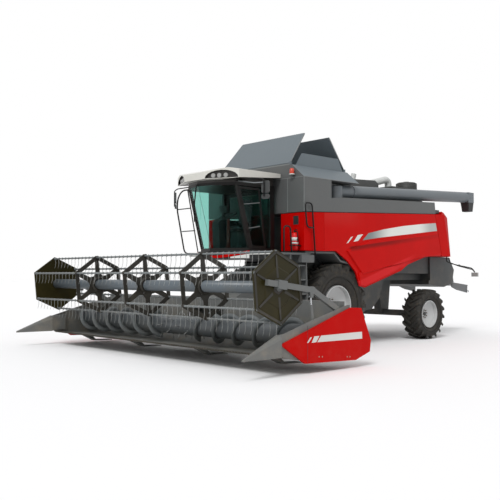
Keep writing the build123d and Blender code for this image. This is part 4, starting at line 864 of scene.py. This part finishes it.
def in_lamp_bay(centre):
    """Whether a point of the roof lies inside one of the two arched bays."""
    run = (ROOF_NOSE - ROOF_CORNER).normalized()
    outward = Vector((-run.y, run.x))
    spot = Vector((abs(centre.x), centre.y - AXLE_Y)) - (ROOF_NOSE + ROOF_CORNER) / 2
    return -0.08 < spot.dot(outward) < -0.003 and abs(spot.dot(run)) < BAY_HALF and BAY_LOW < centre.z < BAY_HIGH


def in_roof_band(face):
    """Whether a face of the roof belongs to the dark band along its underside, or to a bay."""
    slope = (UNDER_REAR.y - UNDER_FRONT.y) / (UNDER_REAR.x - UNDER_FRONT.x)
    under = UNDER_FRONT.y + slope * (face.center.y - AXLE_Y - UNDER_FRONT.x)
    return face.center.z < under + 0.006 or in_lamp_bay(face.center)


band_look = paint("roof_band_look", (33, 29, 26), 0.4, dust=0.15, dust_top=3.0)
roof = two_tones("cab_roof_cap", "cab_roof", finishes["roof_cream"], band_look, in_roof_band)
worn(soften(roof, 0.018, segments=3, angle=20), "machine", "roof_cream", "cab_roof")

# %% [markdown]
# ## Stripes
# The panels carry a long silver stripe with two slanted bars ahead of it. On the machine they are foil, so they
# are thin plates a millimetre or two proud of the paint: real edges, no image. The foil fades from silver to white.

# %% Foil stripes on the side panels and the header's ends
PANEL_X, HEADER_X = 1.570, 3.860


def foil(name, front, rear, fade_from, fade_to, end=None):
    """Foil that fades along Y from one tone to another, and to a third near the end."""
    kit = Kit(name)
    run = kit.between(kit.axis("Y"), AXLE_Y + fade_from, AXLE_Y + fade_to)
    grain = kit.noise(60.0, 3)
    colour = kit.mix(run, tone(*front), tone(*rear))
    if end:
        colour = kit.mix(kit.between(kit.axis("Y"), AXLE_Y + 3.0, AXLE_Y + 3.6), colour, tone(*end))
    return kit.finish(Base_Color=colour, Metallic=0.15, Roughness=0.34 + grain * 0.1,
                      Normal=kit.bump(grain, 0.0002, 0.4))


silver_foil = foil("silver_foil_look", (118, 128, 128), (220, 222, 217), 0.95, 1.9, (172, 176, 172))
white_foil = foil("white_foil_look", (205, 208, 203), (214, 214, 210), -3.6, -2.2)
bar_thin = [(0.162, 2.344), (0.323, 2.493), (0.390, 2.507), (0.226, 2.359)]
bar_wide = [(0.411, 2.389), (0.564, 2.545), (0.758, 2.573), (0.577, 2.413)]
long_stripe = [(0.742, 2.432), (0.959, 2.604), (1.584, 2.724), (2.325, 2.832), (3.115, 2.918), (3.775, 2.975),
               (3.835, 2.775), (3.037, 2.690), (1.983, 2.579), (1.324, 2.508)]
panel_stripes = ((bar_thin, white_foil), (bar_wide, white_foil), (long_stripe, silver_foil))
end_bars = [[(-3.664, 0.520), (-3.581, 0.606), (-3.539, 0.608), (-3.625, 0.521)],
            [(-3.550, 0.515), (-3.482, 0.618), (-3.353, 0.619), (-3.436, 0.517)],
            [(-3.408, 0.516), (-3.312, 0.621), (-2.218, 0.628), (-2.210, 0.505)]]
for side_name, side in SIDES:
    stripes = [flank_plate("stripe", outline, side, PANEL_X - 0.001, PANEL_X + 0.002, look)
               for outline, look in panel_stripes]
    dress(f"side_stripe_{side_name}", stripes, f"service_door_{side_name}", "duct_white")
    bars = [flank_plate("bar", outline, side, HEADER_X - 0.002, HEADER_X + 0.0005, white_foil) for outline in end_bars]
    dress(f"end_stripe_{side_name}", bars, "header", "duct_white")
print("stripes on two panels and two header ends")

# %% [markdown]
# ## Rails and hoops
# Bent steel tube, painted black: two hoops by the ladder, and the window-cleaning rail on the right. The packed
# rails have square corners; here the tube follows rounded ones, because a real bend has a radius.

# %% Rounded tubes
BEND_STEPS = 5


def bent(points, radius):
    """The path with each inner corner replaced by a short run of points along a bend."""
    path = [points[0]]
    for before, corner, after in zip(points, points[1:], points[2:]):
        reach = min(radius, (before - corner).length * 0.48, (after - corner).length * 0.48)
        start = corner + (before - corner).normalized() * reach
        end = corner + (after - corner).normalized() * reach
        for k in range(BEND_STEPS + 1):
            t = k / BEND_STEPS
            path.append(start * (1 - t) ** 2 + corner * 2 * t * (1 - t) + end * t ** 2)
    return path + [points[-1]]


def rod(name, places, thick, finish=black_tube_look, sides=10, bend=0.0):
    """A round rod through places given as for at(), with rounded corners where a bend is given."""
    points = [at(*place) for place in places]
    return tube(name, bent(points, bend) if bend else points, thick, finish, sides)


hoops = [
    rod("front_hoop", [(1.585, -1.865, 2.101), (1.585, -1.865, 2.645), (1.585, -1.675, 2.645), (1.585, -1.64, 2.101)],
        0.017, bend=0.08),
    rod("rear_hoop", [(1.62, -0.945, 2.062), (1.62, -1.04, 3.165), (1.62, -1.26, 3.165), (1.62, -1.20, 2.645),
                      (1.62, -1.00, 2.64)], 0.016, bend=0.09),
    rod("cleaning_rail", [(-0.80, -2.42, 3.55), (-1.10, -2.42, 3.555), (-1.275, -2.41, 3.40), (-1.345, -2.38, 3.15),
                          (-1.365, -2.14, 2.13), (-0.95, -2.10, 2.12)], 0.017, bend=0.12),
    rod("inner_rail", [(-0.885, -2.43, 3.55), (-0.89, -2.12, 2.12)], 0.013)]
hoops += [rod("rung", [(-0.885, front, height), (-1.36, front, height)], 0.012, sides=8)
          for height, front in ((3.14, -2.36), (2.64, -2.22))]
dress("hand_rails", hoops, "machine", "cab_black", "rails")
print("rails", len(hoops))

# %% [markdown]
# ## Under the windscreen
# A curved skirt runs under the windscreen, red along its top and pale near the corners, with a dark edge all
# round. It follows the same bowed line as the glass, so that line is written once, from the share of the cab's
# half width. The platforms at both sides end in the same pale edge.

# %% Skirt and platform edges
CAB_HALF, CAB_BOW, CAB_FRONT = 0.86, 0.40, -2.15
KNEE, KNEE_BULGE = 0.55, 0.72


def bow_front(share):
    """How far the cab's front bulges forwards at a share of its half width, from 0 at a corner to 1 in the middle."""
    share = abs(share)
    return (1 - share) / (1 - KNEE) * KNEE_BULGE if share > KNEE else 1 - share / KNEE * (1 - KNEE_BULGE)


def skirt_band(shares, low, high, stand_off, finish):
    """A thin strip along the bowed front between two heights, both functions of the share of the half width."""
    rings = []
    for share in shares:
        front = CAB_FRONT - CAB_BOW * bow_front(share)
        near, far = at(share * CAB_HALF, front + 0.004, 0), at(share * CAB_HALF, front - stand_off, 0)
        rings.append([(spot.x, spot.y, level(share)) for spot, level in ((near, low), (far, low), (far, high),
                                                                        (near, high))])
    return skin("skirt", rings, finish)


def red_low(share):
    """The red strip's lower edge, which rises towards the corners."""
    return 1.996 + max(0.0, abs(share) - 0.45) * 0.17


whole_front = (-1.0, -0.8, -0.55, -0.3, 0.0, 0.3, 0.55, 0.8, 1.0)
strips = [skirt_band(whole_front, lambda s: 1.984, lambda s: 2.148, 0.006, black_tube_look),
          skirt_band(whole_front, red_low, lambda s: red_low(s) + 0.052 + 0.01 * abs(s), 0.014, finishes["red_paint"])]
strips += [skirt_band(shares, lambda s: 1.988, lambda s: red_low(s) - 0.008, 0.012, skirt_white)
           for shares in ((0.62, 0.8, 1.0), (-1.0, -0.8, -0.62))]
dress("cab_skirt", strips, "machine", "duct_white")
edges = []
for side, wide in ((1, 1.595), (-1, 1.295)):
    outline = [(side * 0.868, -2.158), (side * wide, -2.058), (side * wide, -2.052), (side * 0.868, -2.151)]
    edges.append(plate("edge", [(x, AXLE_Y + y) for x, y in outline], 2.064, 2.098, skirt_white, "Z"))
dress("platform_edges", edges, "machine", "duct_white")
print("skirt strips", len(strips), "platform edges", len(edges))

# %% [markdown]
# ## Round the cab
# The door has two grab bars, a wiper crosses the glass, and plate mirrors hang on bent arms, braced by a thin
# stay on the door's side. All are rods with rounded corners; a mirror is a plate with its corners cut.

# %% Grab bars, wiper and mirrors
DOOR_LEAN = 0.39 / 1.42
MIRROR_CUT = 0.03
trims = []
for low, high in ((3.125, 3.175), (2.626, 2.672)):
    front = -2.10 - DOOR_LEAN * (low - 2.15)
    trims.append(rod("grab_bar", [(0.79, front + 0.12, low), (0.835, front + 0.13, low), (0.835, -1.83, high),
                                  (0.79, -1.82, high)], 0.009, pale_tube_look, bend=0.02))
dress("door_grab_bars", trims, "cab_door", "cab_black")
wiper = [rod("wiper_arm", [(0.02, -2.905, 3.55), (-0.05, -2.875, 3.40), (-0.30, -2.72, 3.02)], 0.014, bend=0.1),
         rod("wiper_blade", [(-0.20, -2.80, 3.22), (-0.39, -2.63, 2.80)], 0.013, sides=8)]
dress("wiper", wiper, "machine", "cab_black")

mirror_shell = moulded("mirror_shell_look", (58, 60, 60), 0.5)
mirror_glass = bare_metal("mirror_glass_look", (150, 156, 158), 0.06)


def mirror_head(place, wide, high, turn):
    """A shell with cut corners and its glass on the rear face, turned towards the driver."""
    w, h, cut = wide / 2, high / 2, MIRROR_CUT
    corners = [(cut - w, -h), (w - cut, -h), (w, cut - h), (w, h - cut), (w - cut, h), (cut - w, h), (-w, h - cut),
               (-w, cut - h)]
    shell = plate("mirror_shell", corners, -0.02, 0.012, mirror_shell, "Y")
    glass = plate("mirror_glass", [(a * 0.88, b * 0.92) for a, b in corners], 0.011, 0.016, mirror_glass, "Y")
    for part in (shell, glass):
        part.transform(Matrix.Translation(at(*place)) @ Matrix.Rotation(math.radians(turn), 4, "Z"))
    return [shell, glass]


mirror_parts = [rod("mirror_stay", [(0.85, -2.46, 3.59), (1.25, -2.40, 3.515), (1.47, -2.35, 3.51)], 0.012,
                    pale_tube_look, 8)]
for side, turn in ((1, 12), (-1, -42)):
    arm = mirrored(side, [(0.78, -2.44, 3.603), (1.25, -2.44, 3.603), (1.49, -2.345, 3.58), (1.49, -2.345, 3.22)])
    mirror_parts.append(rod("mirror_arm", arm, 0.013, bend=0.06))
    for height, high in ((3.42, 0.25), (3.225, 0.10)):
        mirror_parts += mirror_head((side * 1.495, -2.30, height), 0.185, high, turn)
dress("mirror_set", mirror_parts, "machine", "cab_black", "mirrors")
print("grab bars", len(trims), "mirror parts", len(mirror_parts))

# %% [markdown]
# ## Inside the cab
# Through the tinted glass one sees a wheel on a dark red column, a monitor, and the seat. The seat's cushion and
# back are upholstery: crowned pads, made from a coarse cage that a subdivision surface rounds, pulled in between
# the corners as covers are.

# %% Seat
PAD_CELLS = 6
cover_look = moulded("seat_cover_look", (52, 54, 56), 0.9, 260.0)
inner_plastic, spout_black = finishes["inner_plastic"], finishes["spout_black"]


def pad(name, centre, size, crown, lean=0.0):
    """A pad: a cage of 7 by 7 points on each broad face, crowned there and drawn in at its sides."""
    work = bmesh.new()
    bmesh.ops.create_grid(work, x_segments=PAD_CELLS, y_segments=PAD_CELLS, size=0.5)
    grown = bmesh.ops.extrude_face_region(work, geom=work.faces[:])
    for vert in grown["geom"]:
        if isinstance(vert, bmesh.types.BMVert):
            vert.co.z = 1.0
    for vert in work.verts:
        u, v, up = vert.co.x * 2, vert.co.y * 2, vert.co.z
        swell = (1 - u * u) * (1 - v * v)
        pull = 1 - 0.05 * (1 - u * u) * (abs(v) > 0.99) - 0.05 * (1 - v * v) * (abs(u) > 0.99)
        vert.co.x *= size[0] * pull
        vert.co.y *= size[1] * pull
        vert.co.z = (up - 0.5) * size[2] + (crown * swell if up > 0.5 else -crown * 0.3 * swell)
    bmesh.ops.recalc_face_normals(work, faces=work.faces)
    mesh = bpy.data.meshes.new(name)
    work.to_mesh(mesh)
    work.free()
    mesh.transform(Matrix.Translation(centre) @ Matrix.Rotation(lean, 4, "X"))
    mesh.materials.append(cover_look)
    mesh.shade_smooth()
    return mesh


pads = [pad("cushion", at(0, -1.68, 2.665), (0.47, 0.44, 0.10), crown=0.025),
        pad("backrest", at(0, -1.478, 3.03), (0.43, 0.60, 0.075), crown=0.02, lean=math.radians(88))]
foot = [(-1.84, 2.215), (-1.53, 2.215), (-1.56, 2.40), (-1.60, 2.60), (-1.78, 2.60), (-1.82, 2.40)]
stands = [plate("pedestal", aft(foot), -0.14, 0.14, inner_plastic)]
for side_name, side in SIDES:
    pads.append(pad(f"{side_name}_arm", at(side * 0.265, -1.66, 2.80), (0.06, 0.30, 0.05), crown=0.008))
    stands.append(flank_plate(f"{side_name}_arm_bracket", rect(-1.60, 2.62, -1.54, 2.79), side, 0.245, 0.27,
                              inner_plastic))
seat_pads = dress("driver_seat_pads", pads, "machine", "seat_fabric", "seat")
rounding = seat_pads.modifiers.new("rounded", "SUBSURF")
rounding.levels = rounding.render_levels = 2
soften(dress("driver_seat_base", stands, "machine", "inner_plastic", "seat"), 0.01)
print("seat faces", len(seat_pads.data.polygons))

# %% Wheel, column and monitor
WHEEL_PLACE, WHEEL_R, WHEEL_TILT = at(0, -2.01, 2.93), 0.2, math.atan(0.5)
column_look = paint("column_red_look", (82, 16, 10), 0.45, dust=0.1)
ORIGIN = Vector((0, 0, 0))
wheel_parts = [tube("wheel_rim", circle(WHEEL_R, 40), 0.015, spout_black, closed=True),
               upright("boss", ORIGIN, (-0.02, 0.02), 0.05, spout_black, 20)]
wheel_parts += [tube("spoke", [ORIGIN, end], 0.010, spout_black, 8)
                for end in circle(WHEEL_R, 3, start=math.radians(90))]
for part in wheel_parts:
    part.transform(Matrix.Translation(WHEEL_PLACE) @ Matrix.Rotation(WHEEL_TILT, 4, "X"))
wheel_parts.append(upright("column", at(0, -1.99, 0), (2.211, 2.40, 2.92), [0.06, 0.04, 0.035], column_look, 16))
dress("steering_set", wheel_parts, "machine", "inner_plastic", "steering")
screen = plate("monitor", rect(-0.30, 3.02, -0.08, 3.17), AXLE_Y - 1.99, AXLE_Y - 1.965, spout_black, "Y")
stalk = rod("monitor_stalk", [(-0.40, -1.80, 2.85), (-0.30, -1.90, 3.0), (-0.20, -1.975, 3.05)], 0.012, spout_black, 8)
dress("monitor", [screen, stalk], "machine", "inner_plastic")
print("wheel parts", len(wheel_parts))

# %% [markdown]
# ## On the front panel
# Beside the ladder hangs a fire extinguisher, and above it is a recess in the red panel, drawn as a flat black plate
# in a red frame: painted shade of the recess. The bottle is turned from a few radii; its labels are plain rings, with
# nothing printed on them.

# %% Extinguisher and recess
FRONT = -1.240
extinguisher = paint("extinguisher_look", (205, 12, 8), 0.25, dust=0.05, coat=0.2, shine=0.3)
label_look = moulded("blank_label_look", (206, 208, 204), 0.4)
BOTTLE = (1.40, -1.35, 2.15)
bottle = at(*BOTTLE)


def front_plate(name, outline, proud, deep, finish):
    """A plate on the front panel, its outline given as (X, Z)."""
    return plate(name, outline, AXLE_Y + FRONT - proud, AXLE_Y + FRONT + deep, finish, "Y")


def by_bottle(*shifts):
    """Places for a rod, by their distances from the bottle's foot."""
    return [tuple(start + shift for start, shift in zip(BOTTLE, spot)) for spot in shifts]


front_bits = [
    upright("bottle", bottle, (0.0, 0.012, 0.34, 0.37, 0.39), [0.06, 0.075, 0.075, 0.055, 0.02], extinguisher),
    upright("label", bottle, (0.21, 0.28), 0.0765, label_look),
    upright("label", bottle, (0.14, 0.18), 0.0765, label_look),
    upright("valve", bottle, (0.385, 0.43), 0.018, black_tube_look, 12),
    rod("handle", by_bottle((-0.01, 0, 0.43), (0.07, -0.02, 0.45), (0.10, -0.02, 0.43)), 0.008, sides=8, bend=0.03),
    rod("hose", by_bottle((0.015, 0, 0.41), (0.085, 0, 0.40), (0.095, 0, 0.18)), 0.010, sides=8, bend=0.05),
    front_plate("strap", rect(1.315, 2.25, 1.485, 2.27), 0.19, 0, black_tube_look),
    front_plate("recess_frame", rect(1.245, 2.695, 1.43, 2.915), 0.004, 0.002, finishes["red_paint"]),
    # Painted shade: a flat black plate in place of the recess's shaded hollow.
    front_plate("recess", rect(1.262, 2.712, 1.415, 2.90), 0.006, 0, spout_black)]
dress("front_panel_gear", front_bits, "machine", "red_paint")
print("front panel parts", len(front_bits))

# %% [markdown]
# ## The tank's folds
# The tank is folded sheet, and the edges of its two open lids are rolled. Its seams and folds catch the light as thin
# paler lines, and that light is painted: thin strips and rods along the imported edges carry a paler grey than the
# walls, a painted highlight.

# %% Tank seams and lid edges
# A painted highlight: a paler grey than the tank's walls, for the light on its seams, folds and rolled lid edges.
seam_look = paint("seam_look", (116, 119, 119), 0.45, dust=0.1, dust_top=4.0)
TANK_X, TANK_REAR, SEAM_LOW, FOLD_Z, HALF_FOLD = 1.570, 0.62, 2.99, 3.730, 0.007
fold_low, fold_high = FOLD_Z - HALF_FOLD, FOLD_Z + HALF_FOLD
seams = [plate("front_fold", aft(rect(FRONT - 0.004, fold_low, FRONT + 0.006, fold_high)), -TANK_X, TANK_X, seam_look),
         plate("hinge_strip", aft(rect(-1.236, 4.0, -1.200, 4.048)), -1.14, 1.14, seam_look)]
for side in (1, -1):
    seam, corner = side * 1.09, side * TANK_X
    seams += [front_plate("seam", rect(seam - 0.008, SEAM_LOW, seam + 0.008, FOLD_Z - 0.006), 0.004, 0.002, seam_look),
              front_plate("corner_fold", rect(corner - 0.006, SEAM_LOW, corner + 0.006, FOLD_Z), 0.004, 0.008,
                          seam_look),
              flank_plate("side_fold", rect(FRONT, fold_low, TANK_REAR, fold_high), side, TANK_X - 0.002,
                          TANK_X + 0.004, seam_look)]
dress("tank_seams", seams, "machine", "tank_grey")


def lid_trim(name, body, hinge, length, opened, way):
    """Rolled edges along both sides and the far end of a lid, opened by these degrees; way is its side of the hinge."""
    run = Vector((0, math.cos(math.radians(opened)) * way, math.sin(math.radians(opened))))
    tip = length - 0.022
    ends = (((1.146, 0.01), (1.022, tip)), ((-1.146, 0.01), (-1.022, tip)), ((-1.02, tip), (1.02, tip)))
    # The rolled edges carry the painted highlight grey.
    made = [tube("edge", [hinge + Vector((x, 0, 0)) + run * reach for x, reach in pair], 0.014, seam_look, 6)
            for pair in ends]
    dress(name, made, body, "lid_blue_grey")


lid_trim("front_lid_edges", "tank_front_lid", at(0, -1.215, 4.065), length=0.955, opened=51, way=1)
lid_trim("rear_lid_edges", "tank_rear_lid", at(0, 0.595, 4.065), length=0.845, opened=63, way=-1)
print("seams", len(seams), "and the edges of two lids")

# %% [markdown]
# ## Creases in the side panels
# Each side panel is pressed: a crease runs under the stripe, and the lower lip turns outwards and catches the sky.
# The pressed steps are in the solid; their light and shade are painted as a few bands, found from the height above a
# slanted line: painted shade in the crease, a painted sky reflection along the lower lip and a painted highlight at
# the upper front.

# %% Panel paint with painted shade and highlights
def panel_paint(name):
    kit = Kit(name)
    y, z = kit.axis("Y") - AXLE_Y, kit.axis("Z")
    broad, fine = kit.noise(1.6, 4), kit.noise(9.0, 4, 0.6)
    rear_part = kit.between(y, 0.22, 0.34)
    # Painted shade: a darker band in the crease under the stripe.
    under_stripe = z - (2.315 + (y - 0.74) * 0.118)
    crease_shade = kit.between(under_stripe, -0.13, -0.03) * (1 - kit.between(under_stripe, 0.0, 0.02)) * rear_part
    crease_shade = crease_shade * (1 - kit.between(y, 1.2, 3.6) * 0.7)
    # Painted sky reflection: a paler band along the outward-turned lower lip.
    lip = z - (1.60 + (y - 0.9) * 0.30)
    lower = kit.between(lip, -0.22, -0.16) * (1 - kit.between(lip, -0.03, 0.01))
    lower = lower * rear_part * (1 - kit.between(y, 2.3, 2.9))
    # Painted highlight: a paler band at the upper front of the panel.
    front_highlight = kit.between(z, 2.62, 2.95) * (1 - kit.between(y, 0.2, 0.9))
    base = kit.mix(broad, tone(172, 2, 0), tone(200, 3, 1))
    for share, colour in ((fine * 0.18, (214, 34, 28)), (front_highlight * 0.5, (190, 44, 40)), (crease_shade * 0.75, (104, 14, 12)),
                          (lower * 0.6, (214, 44, 48))):
        base = kit.mix(share, base, tone(*colour))
    return kit.finish(Base_Color=base, Roughness=0.4 + fine * 0.1, Specular_IOR_Level=0.08,
                      Normal=kit.bump(broad, 0.0006, 0.5))


panel_red = panel_paint("panel_red_look")
for panel in ("side_panel_left", "side_panel_right"):
    materials = frame["nodes"][panel].data.materials
    for place in range(len(materials)):
        materials[place] = panel_red
print("side panels repainted")

# %% [markdown]
# ## Behind the tank
# The engine hood is dark but the air duct across it is white, the dust screen is a low drum of wire mesh with a
# rim, and the rear hood narrows upwards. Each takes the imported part's own faces where it can: the hood keeps its
# mesh and gets a second finish, the rear hood's rear corners lean forwards.

# %% Hood with a white duct, dust screen and rear hood
LEAN, LEAN_FROM, LEAN_LOW, LEAN_HEIGHT, LEAN_GROWS = 0.17, AXLE_Y + 4.10, 2.13, 1.16, 0.6
SCREEN, HOOP_R, WIRES = at(0.70, 3.74, 3.90), 0.272, 24


def on_duct(face):
    """Whether a face of the engine hood belongs to the air duct across it."""
    x, y, z = face.center
    return abs(x - 0.5) < 0.125 and z > 3.90 and y > AXLE_Y + 1.93 and face.area < 0.9


hood = two_tones("engine_hood_dressed", "engine_hood", finishes["deck_dark"], finishes["duct_white"], on_duct)
worn(soften(hood, 0.008), "machine", "deck_dark", "engine_hood")

mesh_look = bare_metal("screen_mesh_look", (92, 94, 92), 0.5, rust=0.05)
drum = [upright("drum", SCREEN, (0.0, 0.02, 0.17, 0.195), [0.285, 0.27, 0.27, 0.235], finishes["deck_dark"], 48),
        upright("hub", SCREEN, (0.19, 0.225), 0.07, mesh_look, 20)]
drum += [tube("hoop", [SCREEN + spot for spot in circle(HOOP_R, 48, height)], 0.006, mesh_look, 6, closed=True)
         for height in (0.045, 0.085, 0.125, 0.165)]
drum += [upright("wire", SCREEN + spot, (0.02, 0.17), 0.004, mesh_look, 5) for spot in circle(HOOP_R + 0.001, WIRES)]
dress("dust_screen_drum", drum, "machine", "deck_dark", "dust_screen")

rear_hood = merged_copy("rear_hood_leaning", "rear_hood")
rear_hood.data.materials.append(finishes["red_paint"])
for vert in rear_hood.data.vertices:
    if vert.co.y > LEAN_FROM:
        share = min(1.0, (vert.co.y - LEAN_FROM) / LEAN_GROWS)
        vert.co.y -= LEAN * (vert.co.z - LEAN_LOW) / LEAN_HEIGHT * share
worn(soften(rear_hood, 0.012, segments=3), "machine", "red_paint", "rear_hood")
print("screen parts", len(drum))

# %% [markdown]
# ## Wheel nuts
# Each wheel is held by a circle of nuts round its hub. One nut is modelled and the ring tree turns it round the
# axle, so that the number can change with a single word.

# %% Nuts round each hub
nut_look = bare_metal("nut_look", (120, 112, 100), 0.4, rust=0.1)
HUBS = {  # X of the hub's face, the axle's place, the circle's radius, the nut's radius and the number of nuts
    "front": (1.214, 0.0, 0.945, 0.150, 0.017, 10), "rear": (1.349, 3.546, 0.637, 0.095, 0.014, 8)}
NUT_LENGTH, FIRST_NUT = 0.03, 0.2
for side_name, side in SIDES:
    for end, (face_x, behind, z, circle_r, nut_r, count) in HUBS.items():
        nut = crossbar("nut", Vector((0, 0, circle_r)), side * face_x, side * (face_x + NUT_LENGTH), nut_r,
                       nut_look, 6)
        nuts = ring(f"{end}_nuts_{side_name}", hidden(nut), count, FIRST_NUT, at(0, behind, z), nut_look)
        worn(show(nuts.name, nuts), f"{end}_wheel_{side_name}_turning", "bare_steel")
print("nut rings", len(SIDES) * len(HUBS))

# %% [markdown]
# ## Lamps, spout and the spreader's end
# The lamps stand on bent black arms with a ball joint. The tank's rim is paler than its walls, and the beacon
# stands on a bracket of its own. The unloading pipe ends in a folded outlet with a bright band, and a short rod
# hangs from the spreader board.

# %% Lamp arms and lamps
arms = []
for side in (1, -1):
    arms += [rod("arm", mirrored(side, [(1.25, 4.93, 2.09), (1.26, 4.96, 1.95), (1.35, 5.261, 1.894),
                                        (1.60, 5.50, 1.822), (1.66, 5.55, 1.72)]), 0.014, bend=0.05),
             rod("ball", mirrored(side, [(1.35, 5.235, 1.90), (1.35, 5.25, 1.895), (1.352, 5.28, 1.889),
                                         (1.353, 5.295, 1.885)]), [0.012, 0.03, 0.03, 0.012], mesh_look, 12)]
dress("tail_lamp_arms", arms, "machine", "cab_black")
lamp_set = two_tones("lamp_set", "lamps", finishes["lamp_clear"], black_tube_look,
                     lambda face: face.center.y > AXLE_Y + 4.6 and face.center.z > 1.735)
worn(lamp_set, "machine", "lamp_clear", "lamps")

# %% Tank rim and beacon
BEACON = at(1.28, -1.305, 3.785)


def on_rim(face):
    """Whether a face of the tank belongs to its rim: high up with all its corners, and not facing down."""
    lowest = min(face.id_data.vertices[v].co.z for v in face.vertices)
    return face.center.z > 3.735 and face.normal.z > -0.5 and lowest > 3.72


tank = two_tones("tank_two_tones", "grain_tank", finishes["tank_grey"], finishes["lid_blue_grey"], on_rim)
worn(soften(tank, 0.006), "machine", "tank_grey", "grain_tank")
beacon = [upright("dome", BEACON, (0.015, 0.03, 0.11, 0.135), [0.05, 0.052, 0.048, 0.03], finishes["beacon_orange"]),
          upright("foot", BEACON, (0.0, 0.016), 0.062, skirt_white),
          plate("bracket", rect(1.24, AXLE_Y - 1.32, 1.32, AXLE_Y - 1.240), 3.772, 3.786, finishes["tank_grey"], "Z")]
dress("beacon_set", beacon, "machine", "beacon_orange", "beacon")
print("beacon parts", len(beacon))

# %% Rod, spout band, belly and fasteners
fastener_look = bare_metal("fastener_look", (170, 140, 128), 0.4)
dress("board_rod", [rod("rod", [(0.925, 6.44, 1.19), (0.925, 6.46, 1.16), (0.925, 6.465, 1.14)], 0.010, bend=0.01)],
      "board", "cab_black")
dress("spout_band", [plate("spout_band", rect(1.178, 4.965, 1.422, 5.228), 3.628, 3.652, finishes["duct_white"], "Z")],
      "auger_swinging", "duct_white")
belly_outline = [(1.02, 0.69), (1.905, 0.797), (2.234, 1.068), (2.448, 1.655), (1.02, 1.655)]
dress("belly_sides", [flank_plate("belly", belly_outline, side, 0.922, 0.929, finishes["chassis_dark"])
                      for side in (1, -1)], "machine", "chassis_dark")
fastener_spots = ((-3.364, 0.272), (-3.281, 0.265), (-2.63, 0.215), (-2.556, 0.209))
heads = []
for side in (1, -1):
    heads += [crossbar("fastener", at(0, *spot), side * (HEADER_X - 0.01), side * (HEADER_X + 0.0005), 0.014,
                       fastener_look, 8) for spot in fastener_spots]
    heads.append(flank_plate("seam", rect(-3.649, 0.20, -3.642, 0.80), side, HEADER_X - 0.002, HEADER_X + 0.0004,
                             spout_black))
dress("end_panel_fasteners", heads, "header", "bare_steel")
print("fasteners and seams", len(heads))

# %% [markdown]
# ## Floor and light
# The machine stands on a white studio floor under a large soft light, as in a catalogue. The floor is plain white
# and keeps a soft shadow; the world is an even white too, so that no horizon shows.

# %% Floor, world and lamps
LOW_SKY, HIGH_SKY = 0.62, 1.25


def lay_floor(reach):
    """A plain white floor, which belongs to the picture and not to the machine."""
    corners = [(-reach, -reach, 0), (reach, -reach, 0), (reach, reach, 0), (-reach, reach, 0)]
    mesh = bpy.data.meshes.new("studio_floor")
    mesh.from_pydata(corners, [], [(0, 1, 2, 3)])
    mesh.materials.append(Kit("studio_floor_look").finish(
        Base_Color=tone(246, 246, 247), Roughness=0.9, Specular_IOR_Level=0.1))
    show("studio_floor", mesh)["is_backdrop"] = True


def light_world(strength):
    """A pale world, brighter above than below; the camera, glass and polished metal see it plain white."""
    world = bpy.data.worlds.new("studio_world")
    bpy.context.scene.world = world
    world.use_nodes = True
    tree = world.node_tree
    path = tree.nodes.new("ShaderNodeLightPath")
    seen = path.outputs["Is Camera Ray"]
    for kind in ("Is Transmission Ray", "Is Glossy Ray"):
        seen = new_node(tree, "ShaderNodeMath", {0: seen, 1: path.outputs[kind]}, operation="MAXIMUM")
    way = new_node(tree, "ShaderNodeTexCoord", out="Generated")
    upwards = new_node(tree, "ShaderNodeSeparateXYZ", {0: way}, "Z")
    sky = new_node(tree, "ShaderNodeMapRange", {"Value": upwards, "To Min": strength * LOW_SKY,
                                                "To Max": strength * HIGH_SKY})
    level = new_node(tree, "ShaderNodeMapRange", {"Value": seen, "To Min": sky, "To Max": 1.0})
    back = tree.nodes["Background"]
    plug(tree, back.inputs["Strength"], level)
    plug(tree, back.inputs["Color"], (1, 1, 1, 1))


def hang_sun(name, tilt, turn, strength, spread):
    """A sun lamp, tilted and turned by its degrees; its spread softens the shadows."""
    lamp = bpy.data.lights.new(name, "SUN")
    lamp.energy, lamp.angle = strength, math.radians(spread)
    held = show(name, lamp)
    held.rotation_euler = (math.radians(tilt), 0, math.radians(turn))


lay_floor(reach=150.0)
light_world(strength=0.7)
hang_sun("key_light", tilt=44, turn=30, strength=1.6, spread=20)

# %% The dressed size, and the last line
low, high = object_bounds()
print("dressed box", [round(v, 3) for v in (*low, *high)])
